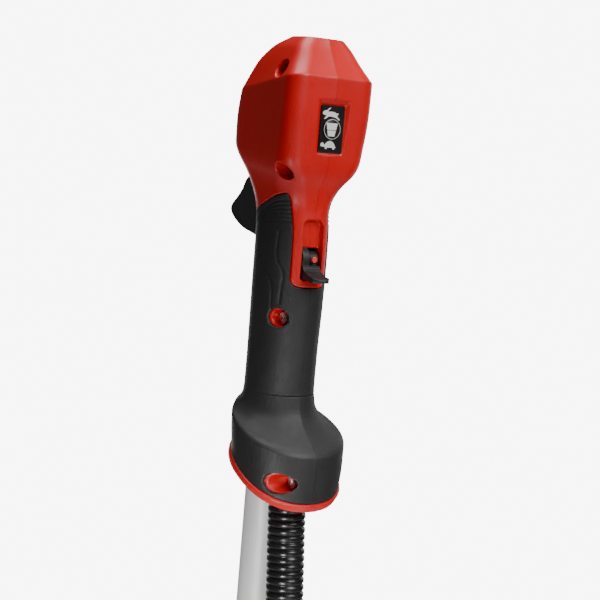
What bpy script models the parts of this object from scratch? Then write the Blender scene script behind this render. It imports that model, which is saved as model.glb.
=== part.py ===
"""Pole drywall sander: a rear pistol handle on an aluminium pole, a dust hose clipped along the pole,
and a motor-driven round sanding head that swivels in a two-axis gimbal.

The pole axis is +Z, and the abrasive face is the plane z = 0. The handle's thumb side faces -Y and its
trigger faces +Y. Lengths in this file are millimetres, and MM turns them into Blender's metres.
"""

import math

import bmesh
import bpy
from mathutils import Matrix, Vector

MM = 0.001

# Driving dimensions.
GRIP_Z = 1275.0  # height of the middle of the rear handle, the zero of every handle height below
POLE_R = 12.8
POLE_WALL = 1.6
POLE_BOTTOM = 158.0
POLE_TOP = GRIP_Z + 4
GAP = 0.3  # between touching pieces
RUBBER = 1.8  # thickness of the soft covers
WALL = 4.9  # shell's inner face, below the outer surface
HOSE_R = 12.0
HOSE_Y = -26.0  # hose axis where it enters the handle
PIVOT_Z = 82.0  # both gimbal axes
DISC_R = 112.5
SHROUD_R = 123.0

# Handle screws, as (y, z above the grip's middle). Each screw runs along X and enters from the left.
SHELL_SCREWS = ((-21.8, 140.2), (-28.8, 79.8), (-21.6, -10.0), (-45.6, -107.4))
WELL_R = 4.9
WELL_FLOOR_X = -9.0

# Thumb slot, speed panel and trigger, as heights above the grip's middle.
SLOT_HALF_WIDTH = 7.2
SLOT_Z = (13.9, 51.2)
SLOT_FLOOR_Y = -25.5
LEVER_WINDOW_TOP = 38.6
LEVER_PIVOT = (-22.5, 27.0)
PANEL_Z = 106.7
PANEL_FLOOR_Y = -38.2
BUTTON_R = 6.5
TRIGGER_PIVOT = (20.5, 84.0)
TRIGGER_HALF_WIDTH = 8.5
INLET_Z = (95.0, 111.0)

# Dust outlet in the right side of the skirt. It points back, past the pole.
OUTLET_R = 11.0
OUTLET_BORE_R = 9.2
OUTLET_Z = -97.0
OUTLET_REACH = 40.0  # from the hose's axis to the outlet's mouth
OUTLET_TURN = math.radians(20)
ELBOW_R = 14.5  # of the bend's middle line

# Cross-sections of the handle's outer surface, bottom to top:
# (z at the front, z at the back, half width, front y, back y, front corner, back corner),
# where a corner is (its width as a share of the half width, its depth).
SECTIONS = (
    (-125.6, -90.4, 33.6, -51.1, 18.7, (1, 33.9), (1, 33.4)),
    (-121.3, -87.1, 34.8, -53.5, 18.1, (1, 33.3), (1, 38.0)),
    (-120.4, -86.2, 33.6, -52.7, 16.1, (1, 33.3), (1, 38.0)),
    (-108.0, -76.2, 34.5, -53.7, 17.7, (1, 32.2), (1, 37.5)),
    (-89.8, -66.4, 35.6, -53.3, 17.6, (1, 32.6), (1, 36.2)),
    (-81.8, -62.6, 29.3, -43.7, 19.6, (1, 29.8), (1, 30.5)),
    (-71.7, -60.3, 23.0, -32.6, 18.8, (1, 24.3), (1, 28.2)),
    (-57.7, -57.2, 21.0, -29.9, 18.8, (1, 23.5), (1, 25.1)),
    (-29.9, -30.0, 20.5, -30.9, 19.2, (1, 24.3), (1, 24.7)),
    (10.1, 10.0, 21.4, -31.9, 19.0, (1, 23.8), (1, 25.1)),
    (42.8, 43.0, 20.5, -30.9, 19.8, (0.9, 21.8), (1, 24.1)),
    (58.9, 60.1, 19.3, -29.2, 22.5, (0.8, 20.3), (1, 22.0)),
    (69.7, 77.2, 22.3, -31.8, 29.2, (0.62, 17.2), (1, 19.7)),
    (81.1, 92.1, 29.7, -38.6, 32.0, (0.45, 13.1), (0.5, 15.9)),
    (112.4, 112.1, 31.2, -41.3, 28.5, (0.36, 10.8), (0.4, 13.4)),
    (137.3, 126.3, 30.9, -41.8, 25.0, (0.36, 10.0), (0.4, 11.8)),
    (146.3, 145.9, 24.6, -36.4, 17.9, (0.38, 10.1), (0.4, 12.5)),
    (155.3, 156.0, 19.7, -31.4, 7.9, (0.39, 9.3), (0.5, 12.0)),
    (160.7, 161.2, 14.4, -29.0, -5.5, (0.46, 8.9), (0.6, 7.7)),
)
SKIRT_RIM = 2  # the covers start at this section; the shell's red rim is below it
SKIRT_TOP = 7  # the skirt cover ends, and the grip cover starts
QUARTER_POINTS = 4

COLOURS = {
    "red": ((0.55, 0.012, 0.012), 0.42, 0.0),
    "rubber": ((0.018, 0.018, 0.018), 0.75, 0.0),
    "black_plastic": ((0.02, 0.02, 0.022), 0.45, 0.0),
    "grey_plastic": ((0.18, 0.18, 0.19), 0.5, 0.0),
    "aluminium": ((0.62, 0.62, 0.63), 0.35, 1.0),
    "steel": ((0.5, 0.5, 0.5), 0.3, 1.0),
    "copper": ((0.6, 0.3, 0.15), 0.4, 1.0),
    "board": ((0.02, 0.16, 0.06), 0.5, 0.0),
    "lens": ((0.8, 0.05, 0.05), 0.2, 0.0),
    "foam": ((0.12, 0.12, 0.13), 0.9, 0.0),
    "abrasive": ((0.45, 0.30, 0.16), 0.95, 0.0),
    "bristle": ((0.05, 0.05, 0.05), 0.9, 0.0),
}


# ---------------------------------------------------------------- scene and materials

def clear_scene():
    for obj in list(bpy.data.objects):
        bpy.data.objects.remove(obj)


def new_collection(name):
    collection = bpy.data.collections.new(name)
    bpy.context.scene.collection.children.link(collection)
    return collection


def material(name):
    made = bpy.data.materials.get(name)
    if made is None:
        colour, roughness, metallic = COLOURS[name]
        made = bpy.data.materials.new(name)
        made.use_nodes = True
        shader = made.node_tree.nodes["Principled BSDF"]
        shader.inputs["Base Color"].default_value = (*colour, 1)
        shader.inputs["Roughness"].default_value = roughness
        shader.inputs["Metallic"].default_value = metallic
    return made


def finish(obj, paint, parent=None):
    """Gives a finished piece its material, its shading and its parent."""
    obj.data.materials.clear()
    obj.data.materials.append(material(paint))
    if obj.type == "MESH":
        obj.data.shade_smooth()
        obj.data.set_sharp_from_angle(angle=math.radians(35))
    if parent:
        obj.parent = parent
        obj.matrix_parent_inverse = Matrix.Translation(-parent.location)
    return obj


def helper(obj):
    """Marks a cutter, which isn't part of the object."""
    for collection in list(obj.users_collection):
        collection.objects.unlink(obj)
    CUTTERS.objects.link(obj)
    obj.hide_render = True
    obj.display_type = "WIRE"
    return obj


def axis_empty(name, y, z):
    """An empty on a joint's axis, in the plane x = 0."""
    empty = bpy.data.objects.new(name, None)
    empty.location = (0, y * MM, z * MM)
    PARTS.objects.link(empty)
    return empty


# ---------------------------------------------------------------- shapes

def mesh_object(name, points, faces):
    mesh = bpy.data.meshes.new(name)
    mesh.from_pydata([Vector(p) * MM for p in points], [], faces)
    mesh.update()
    obj = bpy.data.objects.new(name, mesh)
    PARTS.objects.link(obj)
    return obj


def from_bmesh(name, shape):
    mesh = bpy.data.meshes.new(name)
    shape.to_mesh(mesh)
    shape.free()
    obj = bpy.data.objects.new(name, mesh)
    PARTS.objects.link(obj)
    return obj


def block(name, low, high):
    shape = bmesh.new()
    bmesh.ops.create_cube(shape, size=1)
    low, high = Vector(low) * MM, Vector(high) * MM
    bmesh.ops.scale(shape, vec=high - low, verts=shape.verts)
    bmesh.ops.translate(shape, vec=(high + low) / 2, verts=shape.verts)
    return from_bmesh(name, shape)


def rod(name, radius, start, end, sides=20, end_radius=None):
    """A cylinder, or a cone, from one point to another."""
    start, end = Vector(start) * MM, Vector(end) * MM
    shape = bmesh.new()
    bmesh.ops.create_cone(
        shape, cap_ends=True, segments=sides, radius1=radius * MM,
        radius2=(radius if end_radius is None else end_radius) * MM, depth=(end - start).length,
    )
    turn = (end - start).to_track_quat("Z", "Y").to_matrix()
    bmesh.ops.rotate(shape, matrix=turn, verts=shape.verts)
    bmesh.ops.translate(shape, vec=(start + end) / 2, verts=shape.verts)
    return from_bmesh(name, shape)


def turned(name, profile, segments=40, ring=True, centre=(0, 0)):
    """A turned shape about a vertical axis. The profile is (radius, z) points, down its outer side.
    A ring's profile is a closed loop; the other kind starts and ends on the axis."""
    points = [(r, 0, z) for r, z in profile]
    count = len(points)
    edges = [(i, (i + 1) % count) for i in range(count if ring else count - 1)]
    mesh = bpy.data.meshes.new(name)
    mesh.from_pydata([Vector(p) * MM for p in points], edges, [])
    obj = bpy.data.objects.new(name, mesh)
    PARTS.objects.link(obj)
    screw = obj.modifiers.new("turn", "SCREW")
    screw.steps = screw.render_steps = segments
    screw.use_merge_vertices = True
    screw.merge_threshold = 0.00001
    screw.use_smooth_shade = False
    obj.location = (centre[0] * MM, centre[1] * MM, 0)
    return baked(obj)


def plate(name, points, thickness, plane="YZ", middle=0.0, holes=()):
    """A flat outline with this thickness. Plane YZ lies across X, XZ across Y, and XY across Z."""
    curve = bpy.data.curves.new(name, "CURVE")
    curve.dimensions = "2D"
    curve.fill_mode = "BOTH"
    curve.extrude = thickness / 2 * MM
    for loop in (points, *holes):
        spline = curve.splines.new("POLY")
        spline.points.add(len(loop) - 1)
        for point, (a, b) in zip(spline.points, loop):
            point.co = (a * MM, b * MM, 0, 1)
        spline.use_cyclic_u = True
    obj = bpy.data.objects.new(name, curve)
    PARTS.objects.link(obj)
    if plane == "YZ":
        turn = Matrix(((0, 0, 1), (1, 0, 0), (0, 1, 0))).to_4x4()
        obj.matrix_world = Matrix.Translation((middle * MM, 0, 0)) @ turn
    elif plane == "XZ":
        turn = Matrix(((1, 0, 0), (0, 0, -1), (0, 1, 0))).to_4x4()
        obj.matrix_world = Matrix.Translation((0, middle * MM, 0)) @ turn
    else:
        obj.matrix_world = Matrix.Translation((0, 0, middle * MM))
    return baked(obj)


def tube(name, route, radius, resolution=2, bore=None):
    """A round rod along a route, or a pipe with an open bore."""
    curve = bpy.data.curves.new(name, "CURVE")
    curve.dimensions = "3D"
    curve.bevel_depth = radius * MM
    curve.bevel_resolution = resolution
    curve.use_fill_caps = bore is None
    spline = curve.splines.new("POLY")
    spline.points.add(len(route) - 1)
    for point, place in zip(spline.points, route):
        point.co = (*(Vector(place) * MM), 1)
    obj = bpy.data.objects.new(name, curve)
    PARTS.objects.link(obj)
    obj = baked(obj)
    if bore is not None:
        wall = obj.modifiers.new("wall", "SOLIDIFY")
        wall.thickness = (radius - bore) * MM
        wall.offset = -1
        obj = baked(obj)
    return obj


def baked(obj):
    """The object as a plain mesh in world space, in place of its curve or modifiers."""
    bpy.context.view_layer.update()
    evaluated = obj.evaluated_get(bpy.context.evaluated_depsgraph_get())
    mesh = bpy.data.meshes.new_from_object(evaluated)
    mesh.transform(obj.matrix_world)
    shape = bmesh.new()
    shape.from_mesh(mesh)
    bmesh.ops.remove_doubles(shape, verts=shape.verts, dist=0.000002)
    shape.to_mesh(mesh)
    shape.free()
    name = obj.name
    hidden = obj.hide_render
    bpy.data.objects.remove(obj)
    mesh.name = name
    made = bpy.data.objects.new(name, mesh)
    PARTS.objects.link(made)
    return helper(made) if hidden else made


def boolean(obj, operation, *others, solver="EXACT"):
    """The object after a Boolean with each of the others in turn. The others stay as they are."""
    for other in others:
        modifier = obj.modifiers.new(operation.lower(), "BOOLEAN")
        modifier.operation = operation
        modifier.solver = solver
        modifier.object = other
        obj = baked(obj)
    return obj


def cut(obj, *cutters, solver="EXACT"):
    return boolean(obj, "DIFFERENCE", *[helper(c) for c in cutters], solver=solver)


def joined(obj, *others):
    obj = boolean(obj, "UNION", *[helper(o) for o in others])
    for other in others:
        bpy.data.objects.remove(other)
    return obj


def copy_of(obj, name):
    made = bpy.data.objects.new(name, obj.data.copy())
    made.matrix_world = obj.matrix_world
    PARTS.objects.link(made)
    return made


def smooth_route(points, step):
    """Points about a step apart on a smooth curve through these."""
    points = [Vector(p) for p in points]
    ends = [2 * points[0] - points[1], *points, 2 * points[-1] - points[-2]]
    route = []
    for before, a, b, after in zip(ends, ends[1:], ends[2:], ends[3:]):
        count = max(1, round((b - a).length / step))
        for i in range(count):
            t = i / count
            route.append(
                0.5 * (2 * a + (b - before) * t + (2 * before - 5 * a + 4 * b - after) * t**2
                       + (3 * a - before - 3 * b + after) * t**3)
            )
    return [*route, points[-1]]


def arc(centre, radius, start, end, count):
    """Points on an arc, in degrees, for an outline."""
    found = []
    for i in range(count + 1):
        angle = math.radians(start + (end - start) * i / count)
        found.append((centre[0] + radius * math.cos(angle), centre[1] + radius * math.sin(angle)))
    return found


def circle(centre, radius, count=24):
    return arc(centre, radius, 0, 360 - 360 / count, count - 1)


# ---------------------------------------------------------------- handle surface

def section_ring(section, inset=0.0):
    """Points round one cross-section, this far inside the outer surface."""
    z_front, z_back, half, front, back, front_corner, back_corner = section
    slope = (z_back - z_front) / (back - front)
    half, front, back = half - inset, front + inset, back - inset
    front_depth = front_corner[1] - inset
    back_depth = min(back_corner[1] - inset, back - front - front_depth - 0.6)
    left = [(0, front)]
    corners = ((front_corner[0], front_depth, front, 1), (back_corner[0], back_depth, back, -1))
    for share, depth, end, sign in corners:
        width = half * min(share, 0.97)
        quarter = []
        for i in range(QUARTER_POINTS + 1):
            angle = math.pi / 2 * i / QUARTER_POINTS
            x = -(half - width) - width * math.sin(angle)
            quarter.append((x, end + sign * depth * (1 - math.cos(angle))))
        left += quarter if sign > 0 else quarter[::-1]
    left.append((0, back))
    outline = left + [(-x, y) for x, y in left[-2:0:-1]]
    return [(x, y, GRIP_Z + z_front + slope * (y - section[3])) for x, y in outline]


def loft(name, sections, inset=0.0, lift=0.0, drop=0.0):
    """A solid through cross-sections. lift lowers its top, and drop raises its bottom."""
    rings = [section_ring(s, inset) for s in sections]
    rings[0] = [(x, y, z + drop) for x, y, z in rings[0]]
    rings[-1] = [(x, y, z - lift) for x, y, z in rings[-1]]
    count = len(rings[0])
    points = [p for ring in rings for p in ring]
    faces = [list(range(count))[::-1], [len(points) - count + i for i in range(count)]]
    for row in range(len(rings) - 1):
        for i in range(count):
            a, b = row * count + i, row * count + (i + 1) % count
            faces += [[a, b, b + count], [a, b + count, a + count]]
    obj = mesh_object(name, points, faces)
    shape = bmesh.new()
    shape.from_mesh(obj.data)
    bmesh.ops.recalc_face_normals(shape, faces=shape.faces)
    shape.to_mesh(obj.data)
    shape.free()
    return obj


def grip_region(name, grow):
    """The space of the grip cover: the grip's sides and back, without the red tongue down its front."""
    z = GRIP_Z
    side = [
        (-60, z - 57 + GAP - grow), (60, z - 57 + GAP - grow), (60, z + 46 + grow), (18, z + 54 + grow),
        *[(y, h + grow) for y, h in arc((-16, z + 56), 9, 60, 165, 6)], (-60, z + 52 + grow),
    ]
    region = plate(name, side, 90)
    half = 13.7 - grow
    bottom = z + 10.2 + grow
    tongue_outline = [
        (-half, z + 90), *arc((-half + 6, bottom + 6), 6, 180, 270, 4),
        *arc((half - 6, bottom + 6), 6, 270, 360, 4), (half, z + 90),
    ]
    tongue = plate(name + "_tongue", tongue_outline, 60, "XZ", -45)
    return cut(region, tongue)


# ---------------------------------------------------------------- handle

def shell_interior():
    """The hollow of the handle, with the screw posts and the pole's saddles left standing in it."""
    hollow = loft("hollow", SECTIONS, WALL, lift=WALL, drop=3.0)
    posts = [
        rod(f"post_{i}", WELL_R + 2.2, (-60, y, GRIP_Z + z), (60, y, GRIP_Z + z), 12)
        for i, (y, z) in enumerate(SHELL_SCREWS)
    ]
    saddles = [
        block(f"saddle_{i}", (-60, -POLE_R - 2.5, GRIP_Z + z), (60, 60, GRIP_Z + z + 5))
        for i, z in enumerate((-72, -30, -4))
    ]
    return helper(cut(hollow, *posts, *saddles))


def well_cutters(radius):
    return [
        rod(f"well_{i}", radius, (-80, y, GRIP_Z + z), (WELL_FLOOR_X, y, GRIP_Z + z), 14)
        for i, (y, z) in enumerate(SHELL_SCREWS)
    ]


def pocket(name, half_width, low, high, front, back, slope):
    """A pocket cut into the front face, whose walls lean in by this much towards its floor."""
    points = []
    for y, margin in ((front, slope * 3), (back, 0)):
        points += [
            (-half_width - margin, y, low - margin), (half_width + margin, y, low - margin),
            (half_width + margin, y, high + margin), (-half_width - margin, y, high + margin),
        ]
    faces = [[0, 1, 2, 3], [7, 6, 5, 4], [0, 4, 5, 1], [1, 5, 6, 2], [2, 6, 7, 3], [3, 7, 4, 0]]
    return mesh_object(name, points, faces)


def slot_cutter(name, half_width, low, high, front, back):
    """An upright slot with a round top."""
    outline = [
        (-half_width, low), (half_width, low),
        *arc((half_width - 4, high - 4), 4, 0, 90, 4), *arc((-half_width + 4, high - 4), 4, 90, 180, 4),
    ]
    return plate(name, outline, back - front, "XZ", (front + back) / 2)


def shell_openings():
    """Every hole in the shell that isn't a screw well."""
    z = GRIP_Z
    py, pz = TRIGGER_PIVOT
    by, bz = LEVER_PIVOT
    return [
        rod("pole_hole", POLE_R + 0.5, (0, 0, z - 160), (0, 0, POLE_TOP + GAP), 24),
        rod("hose_hole", HOSE_R + 0.8, (0, HOSE_Y, z - 160), (0, HOSE_Y, z - 90), 20),
        rod("elbow_hole", OUTLET_R + 0.8, outlet_point(-6, -14.5), outlet_point(20, 11.5), 20),
        rod("outlet_hole", OUTLET_R + 0.8, outlet_point(2), outlet_point(80), 20),
        slot_cutter("slot", SLOT_HALF_WIDTH, z + SLOT_Z[0], z + SLOT_Z[1], -60, SLOT_FLOOR_Y),
        slot_cutter(
            "lever_window", SLOT_HALF_WIDTH - 0.01, z + SLOT_Z[0] + 0.01, z + LEVER_WINDOW_TOP, -59, -10,
        ),
        rod("lever_pin_hole", 1.6, (-11, by, z + bz), (11, by, z + bz), 12),
        block("trigger_slot", (-TRIGGER_HALF_WIDTH - 0.5, 8, z + 35), (TRIGGER_HALF_WIDTH + 0.5, 60, z + 79)),
        block("hub_slot", (-TRIGGER_HALF_WIDTH - 0.4, 12, z + 78), (TRIGGER_HALF_WIDTH + 0.4, 27, z + 90)),
        rod("trigger_pin_hole", 2.2, (-13, py, z + pz), (13, py, z + pz), 12),
        pocket("panel_pocket", 9.0, z + PANEL_Z - 14.6, z + PANEL_Z + 14.6, -44.6, PANEL_FLOOR_Y, 0.9),
        rod("button_hole", 3.0, (0, -45, z + PANEL_Z), (0, -28, z + PANEL_Z), 16),
        block("inlet_hole", (-10, 6, z + INLET_Z[0]), (10, 60, z + INLET_Z[1])),
        *[
            rod(f"pilot_{i}", 2.2, (WELL_FLOOR_X - 2, y, z + h), (WELL_FLOOR_X + 20, y, z + h), 12)
            for i, (y, h) in enumerate(SHELL_SCREWS)
        ],
    ]


def half_of(obj, side, name):
    """The left or right half of a closed shape, with half a gap at the parting plane."""
    inner, outer = -side * GAP / 2, -side * 90
    box = block(name + "_rest", (min(-inner, outer), -90, 900), (max(-inner, outer), 90, 1600))
    made = cut(copy_of(obj, name), box)
    bpy.data.objects.remove(box)
    return made


def make_handle_shells():
    """The shell halves and their covers. The covers are thin, and their two faces run nearly parallel,
    which the exact solver can't cut."""
    outer = helper(loft("outer", SECTIONS))
    core = helper(loft("core", SECTIONS, RUBBER + 0.4, lift=-30, drop=-30))
    cover_core = helper(loft("cover_core", SECTIONS, RUBBER, lift=-30, drop=-30))
    skirt = SECTIONS[SKIRT_RIM:SKIRT_TOP + 1]
    skirt_recess = cut(loft("skirt_recess", skirt, -6), core, solver="MANIFOLD")
    grip_recess = cut(grip_region("grip_recess", GAP), core, solver="MANIFOLD")
    skirt_space = helper(loft("skirt_space", skirt, -6, lift=GAP, drop=GAP))
    grip_space = helper(grip_region("grip_space", 0))
    interior, openings = shell_interior(), [helper(o) for o in shell_openings()]
    wells, wide_wells = [[helper(w) for w in well_cutters(r)] for r in (WELL_R, WELL_R + 1.4)]
    cover_outlet = rod("cover_outlet", OUTLET_R + 1.2, outlet_point(8), outlet_point(80), 24)
    cover_trigger = block("cover_trigger", (-TRIGGER_HALF_WIDTH - 1.5, 8, GRIP_Z + 33.5),
                          (TRIGGER_HALF_WIDTH + 1.5, 60, GRIP_Z + 90))
    for side, word in ((-1, "left"), (1, "right")):
        half = half_of(outer, side, f"handle_shell_{word}")
        covers = []
        spaces = (("skirt", skirt_space, cover_outlet), ("grip", grip_space, cover_trigger))
        for cover, space, opening in spaces:
            made = copy_of(half, f"{cover}_cover_{word}")
            made = boolean(made, "INTERSECT", space, solver="MANIFOLD")
            covers.append(cut(made, cover_core, opening, *wide_wells, solver="MANIFOLD"))
        shell = cut(half, skirt_recess, grip_recess, interior, *openings, *wells, solver="MANIFOLD")
        finish(shell, "red")
        for made in covers:
            finish(made, "rubber")


def make_shell_screws():
    floor = WELL_FLOOR_X
    for i, (y, z) in enumerate(SHELL_SCREWS, 1):
        head = rod(f"shell_screw_{i}", 3.7, (floor - GAP, y, GRIP_Z + z), (floor - 3.0, y, GRIP_Z + z), 20)
        shank = rod("shank", 1.9, (floor - 1.5, y, GRIP_Z + z), (floor + 18, y, GRIP_Z + z), 12)
        socket = rod("socket", 1.7, (floor - 5, y, GRIP_Z + z), (floor - 1.4, y, GRIP_Z + z), 6)
        name = head.name
        screw = cut(joined(head, shank), socket)
        screw.name = name
        finish(screw, "steel")


def make_trigger():
    py, pz = TRIGGER_PIVOT
    z = GRIP_Z
    hub = arc((py, z + pz), 5, 215, -40, 8)
    outline = [
        (12.5, z + 48), (12.5, z + 70), *hub, (29, z + 77.4), (35, z + 73.5), (40, z + 66), (46, z + 60),
        *arc((51.8, z + 52.6), 3.4, 70, -50, 4), (49, z + 45.5), (41.2, z + 41.5), (30, z + 38.6),
        (21, z + 36.4), (15, z + 39),
    ]
    pivot = axis_empty("trigger_axis", py, z + pz)
    body = plate("trigger", outline, TRIGGER_HALF_WIDTH * 2)
    body = cut(body, rod("trigger_bore", 2.3, (-20, py, z + pz), (20, py, z + pz), 16))
    bevel = body.modifiers.new("edges", "BEVEL")
    bevel.width = 1.2 * MM
    bevel.segments = 1
    bevel.limit_method = "ANGLE"
    bevel.angle_limit = math.radians(60)
    finish(baked(body), "black_plastic", pivot)
    finish(rod("trigger_pin", 1.9, (-12.7, py, z + pz), (12.7, py, z + pz), 12), "steel")
    turns, points_a_turn, start, length = 4, 8, 1.5, 10.0
    coil = [
        (4 * math.cos(2 * math.pi * i / points_a_turn), start + length * i / (turns * points_a_turn),
         z + 60 + 4 * math.sin(2 * math.pi * i / points_a_turn))
        for i in range(turns * points_a_turn + 1)
    ]
    finish(tube("trigger_spring", coil, 0.5, 1), "steel")
    finish(block("trigger_switch", (-9, -13, z + 47), (9, 0.5, z + 76)), "black_plastic")


def make_lock_lever():
    """The thumb lever in the slot: a drum on a pin, a raised cheek on its left, and a paddle."""
    by, bz = LEVER_PIVOT
    z = GRIP_Z
    pivot = axis_empty("lock_lever_axis", by, z + bz)
    half = SLOT_HALF_WIDTH - 0.6
    drum = rod("lock_lever", 5.6, (-half, by, z + bz), (half, by, z + bz), 24)
    cheek = rod("cheek", 7.8, (-half, by, z + bz), (-half + 5, by, z + bz), 28)
    paddle_outline = [
        (by + 2, z + bz - 1), (by - 6, z + bz - 4.5), (by - 13, z + bz - 7.6), (by - 20.5, z + bz - 10.6),
        *arc((by - 21.3, z + bz - 12.2), 1.6, 100, 265, 4), (by - 10, z + bz - 12.3),
        (by - 1, z + bz - 11.6), (by + 3, z + bz - 6),
    ]
    paddle = plate("paddle", paddle_outline, 2 * half - 0.4)
    lever = joined(drum, cheek, paddle)
    lever = cut(lever, rod("lever_bore", 1.8, (-20, by, z + bz), (20, by, z + bz), 12))
    lever.name = "lock_lever"
    finish(lever, "black_plastic", pivot)
    finish(rod("lock_lever_pin", 1.4, (-10.6, by, z + bz), (10.6, by, z + bz), 12), "steel")
    mark_x, mark_z = 2.4, z + bz
    mark = rod("lock_mark", 1.9, (mark_x, by - 5.6 - GAP, mark_z), (mark_x, by - 7.6, mark_z), 12)
    finish(mark, "lens", pivot)


def make_speed_panel():
    z = GRIP_Z + PANEL_Z
    low, high = (-8.6, PANEL_FLOOR_Y - 1.5, z - 14.1), (8.6, PANEL_FLOOR_Y - GAP, z + 14.1)
    panel = block("speed_panel", low, high)
    panel = cut(panel, rod("panel_hole", BUTTON_R + 0.35, (0, -60, z), (0, -20, z), 28))
    panel.name = "speed_panel"
    finish(panel, "black_plastic")
    face = rod("speed_button", BUTTON_R, (0, PANEL_FLOOR_Y - 1.1, z), (0, PANEL_FLOOR_Y - 2.3, z), 28)
    stem = rod("stem", 2.4, (0, PANEL_FLOOR_Y - 1.5, z), (0, -33.6, z), 12)
    button = joined(face, stem)
    button.name = "speed_button"
    finish(button, "black_plastic")
    finish(block("control_board", (-20, -31.6, z - 15), (20, -30.0, z + 26)), "board")
    finish(block("tact_switch", (-3, -33.0 + 0.3, z - 3), (3, -31.6 - GAP, z + 3)), "black_plastic")


def make_power_inlet():
    """The recessed inlet in the bulb's back, where a detachable lead plugs in."""
    low, high = (GRIP_Z + h for h in INLET_Z)
    body = block("power_inlet", (-10 + GAP, 9, low + GAP), (10 - GAP, 28.3, high - GAP))
    body = cut(body, block("inlet_cavity", (-7.2, 12, low + 3), (7.2, 40, high - 3)))
    middle = (low + high) / 2
    pins = [rod(f"inlet_pin_{x}", 1.0, (x, 11, middle), (x, 18, middle), 10) for x in (-3.5, 3.5)]
    body = joined(body, *pins)
    body.name = "power_inlet"
    finish(body, "black_plastic")


def outlet_point(reach, rise=0.0):
    """A point this far along the outlet from the hose's axis, and this far above the outlet's axis."""
    return (
        reach * math.cos(OUTLET_TURN), HOSE_Y + reach * math.sin(OUTLET_TURN), GRIP_Z + OUTLET_Z + rise,
    )


def make_dust_outlet():
    """The elbow from the top of the hose to the mouth in the skirt's side."""
    route = [(0, HOSE_Y, HOSE_END_Z + 0.4)]
    route += [outlet_point(reach, rise) for reach, rise in arc((ELBOW_R, -ELBOW_R), ELBOW_R, 180, 90, 6)]
    route.append(outlet_point(OUTLET_REACH))
    finish(tube("dust_outlet", route, OUTLET_R, 3, OUTLET_BORE_R), "black_plastic")


# ---------------------------------------------------------------- pole and hose

HOSE_END_Z = GRIP_Z - 117.9
HOSE_CUFF_Z = 236.0  # where the hose ends in the fork's cuff
CLIP_HEIGHTS = (965.0, 665.0, 365.0)
CLIP_Y = -29.0
HOSE_ROUTE = (
    (0, HOSE_Y, HOSE_END_Z), (0, HOSE_Y, HOSE_END_Z - 9), (0, -28.0, 1130), (0, -33.5, 1088),
    (0, -35.5, 1045), (0, -32.0, 1000),
    (0, CLIP_Y, 965), (0, -30.0, 900), (0, -33.5, 815), (0, -31.5, 730), (0, CLIP_Y, 665), (0, -31.0, 600),
    (0, -33.5, 515), (0, -31.0, 430), (0, CLIP_Y, 365), (0, -31.0, 320), (0, -35.5, 275), (0, -38.0, 250),
    (0, -38.0, HOSE_CUFF_Z + 1),
)


def make_pole():
    inner = POLE_R - POLE_WALL
    low, high = POLE_BOTTOM, POLE_TOP
    finish(turned("pole_tube", [(POLE_R, high), (POLE_R, low), (inner, low), (inner, high)], 24), "aluminium")
    finish(rod("power_cable", 3.5, (0, 0, low + 6), (0, 0, high - 4), 10), "rubber")


def make_hose():
    finish(tube("dust_hose", smooth_route(HOSE_ROUTE, 45), HOSE_R, 2), "rubber")
    for i, height in enumerate(CLIP_HEIGHTS, 1):
        middle = CLIP_Y / 2
        outline = [
            *arc((0, 0), POLE_R + 3, -40, 220, 9), (-7.5, middle),
            *arc((0, CLIP_Y), HOSE_R + 3, 145, 395, 9), (7.5, middle),
        ]
        holes = [circle((0, 0), POLE_R + 0.5, 16), circle((0, CLIP_Y), HOSE_R + 1.4, 14)]
        finish(plate(f"hose_clip_{i}", outline, 14, "XY", height, holes), "black_plastic")


# ---------------------------------------------------------------- fork and gimbal

FORK_X = (60.0, 68.0)
CROWN_Z = (150.0, 162.0)
PORT = (-88.0, 62.0)  # y and z of the top of the shroud's dust port
BELLOWS_SPLIT = (-64.0, 118.0)


def make_fork():
    inner, outer = FORK_X
    low, high = CROWN_Z
    arch = [
        (-outer, PIVOT_Z - 11), (-inner, PIVOT_Z - 11), (-inner, low - 20), (-inner + 20, low),
        (inner - 20, low), (inner, low - 20), (inner, PIVOT_Z - 11), (outer, PIVOT_Z - 11),
        (outer, low - 14), (outer - 26, high + 6), (22, high + 16), (-22, high + 16),
        (-outer + 26, high + 6), (-outer, low - 14),
    ]
    frame = plate("fork", arch, 24, "XZ")
    bevel = frame.modifiers.new("edges", "BEVEL")
    bevel.width = 2.0 * MM
    bevel.segments = 1
    bevel.limit_method = "ANGLE"
    bevel.angle_limit = math.radians(40)
    frame = baked(frame)
    socket_r = POLE_R + 5.5
    socket = turned("fork_socket", [(0, 222), (socket_r, 222), (socket_r, 160), (0, 160)], 24, ring=False)
    bracket = plate("cuff_arm", [(-46, 196), (-6, 186), (-6, 222), (-46, 222)], 12)
    frame = joined(frame, socket, bracket)
    holes = [
        rod("pole_seat", POLE_R + GAP, (0, 0, POLE_BOTTOM - GAP), (0, 0, 260), 24),
        rod("cuff_seat", HOSE_R + 3.3, (0, -38, 180), (0, -38, 250), 20),
        rod("cable_way", 5, (0, 0, 140), (0, 0, 170), 16),
        rod("pin_way", 5.3, (-80, 0, PIVOT_Z), (80, 0, PIVOT_Z), 24),
        rod("bolt_way", 3.3, (0, 10, 208), (0, 40, 208), 12),
    ]
    frame = cut(frame, *holes)
    frame.name = "fork"
    finish(frame, "black_plastic")
    finish(rod("fork_bolt", 3.0, (0, POLE_R + 0.3, 208), (0, POLE_R + 8, 208), 12), "steel")
    cuff_r = HOSE_R + 3
    profile = [
        (cuff_r, 238), (cuff_r, 194), (HOSE_R - 2, 194), (HOSE_R - 2, HOSE_CUFF_Z - 10),
        (HOSE_R + 0.6, HOSE_CUFF_Z - 10), (HOSE_R + 0.6, 238),
    ]
    finish(turned("hose_cuff", profile, 20, centre=(0, -38)), "black_plastic")


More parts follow.
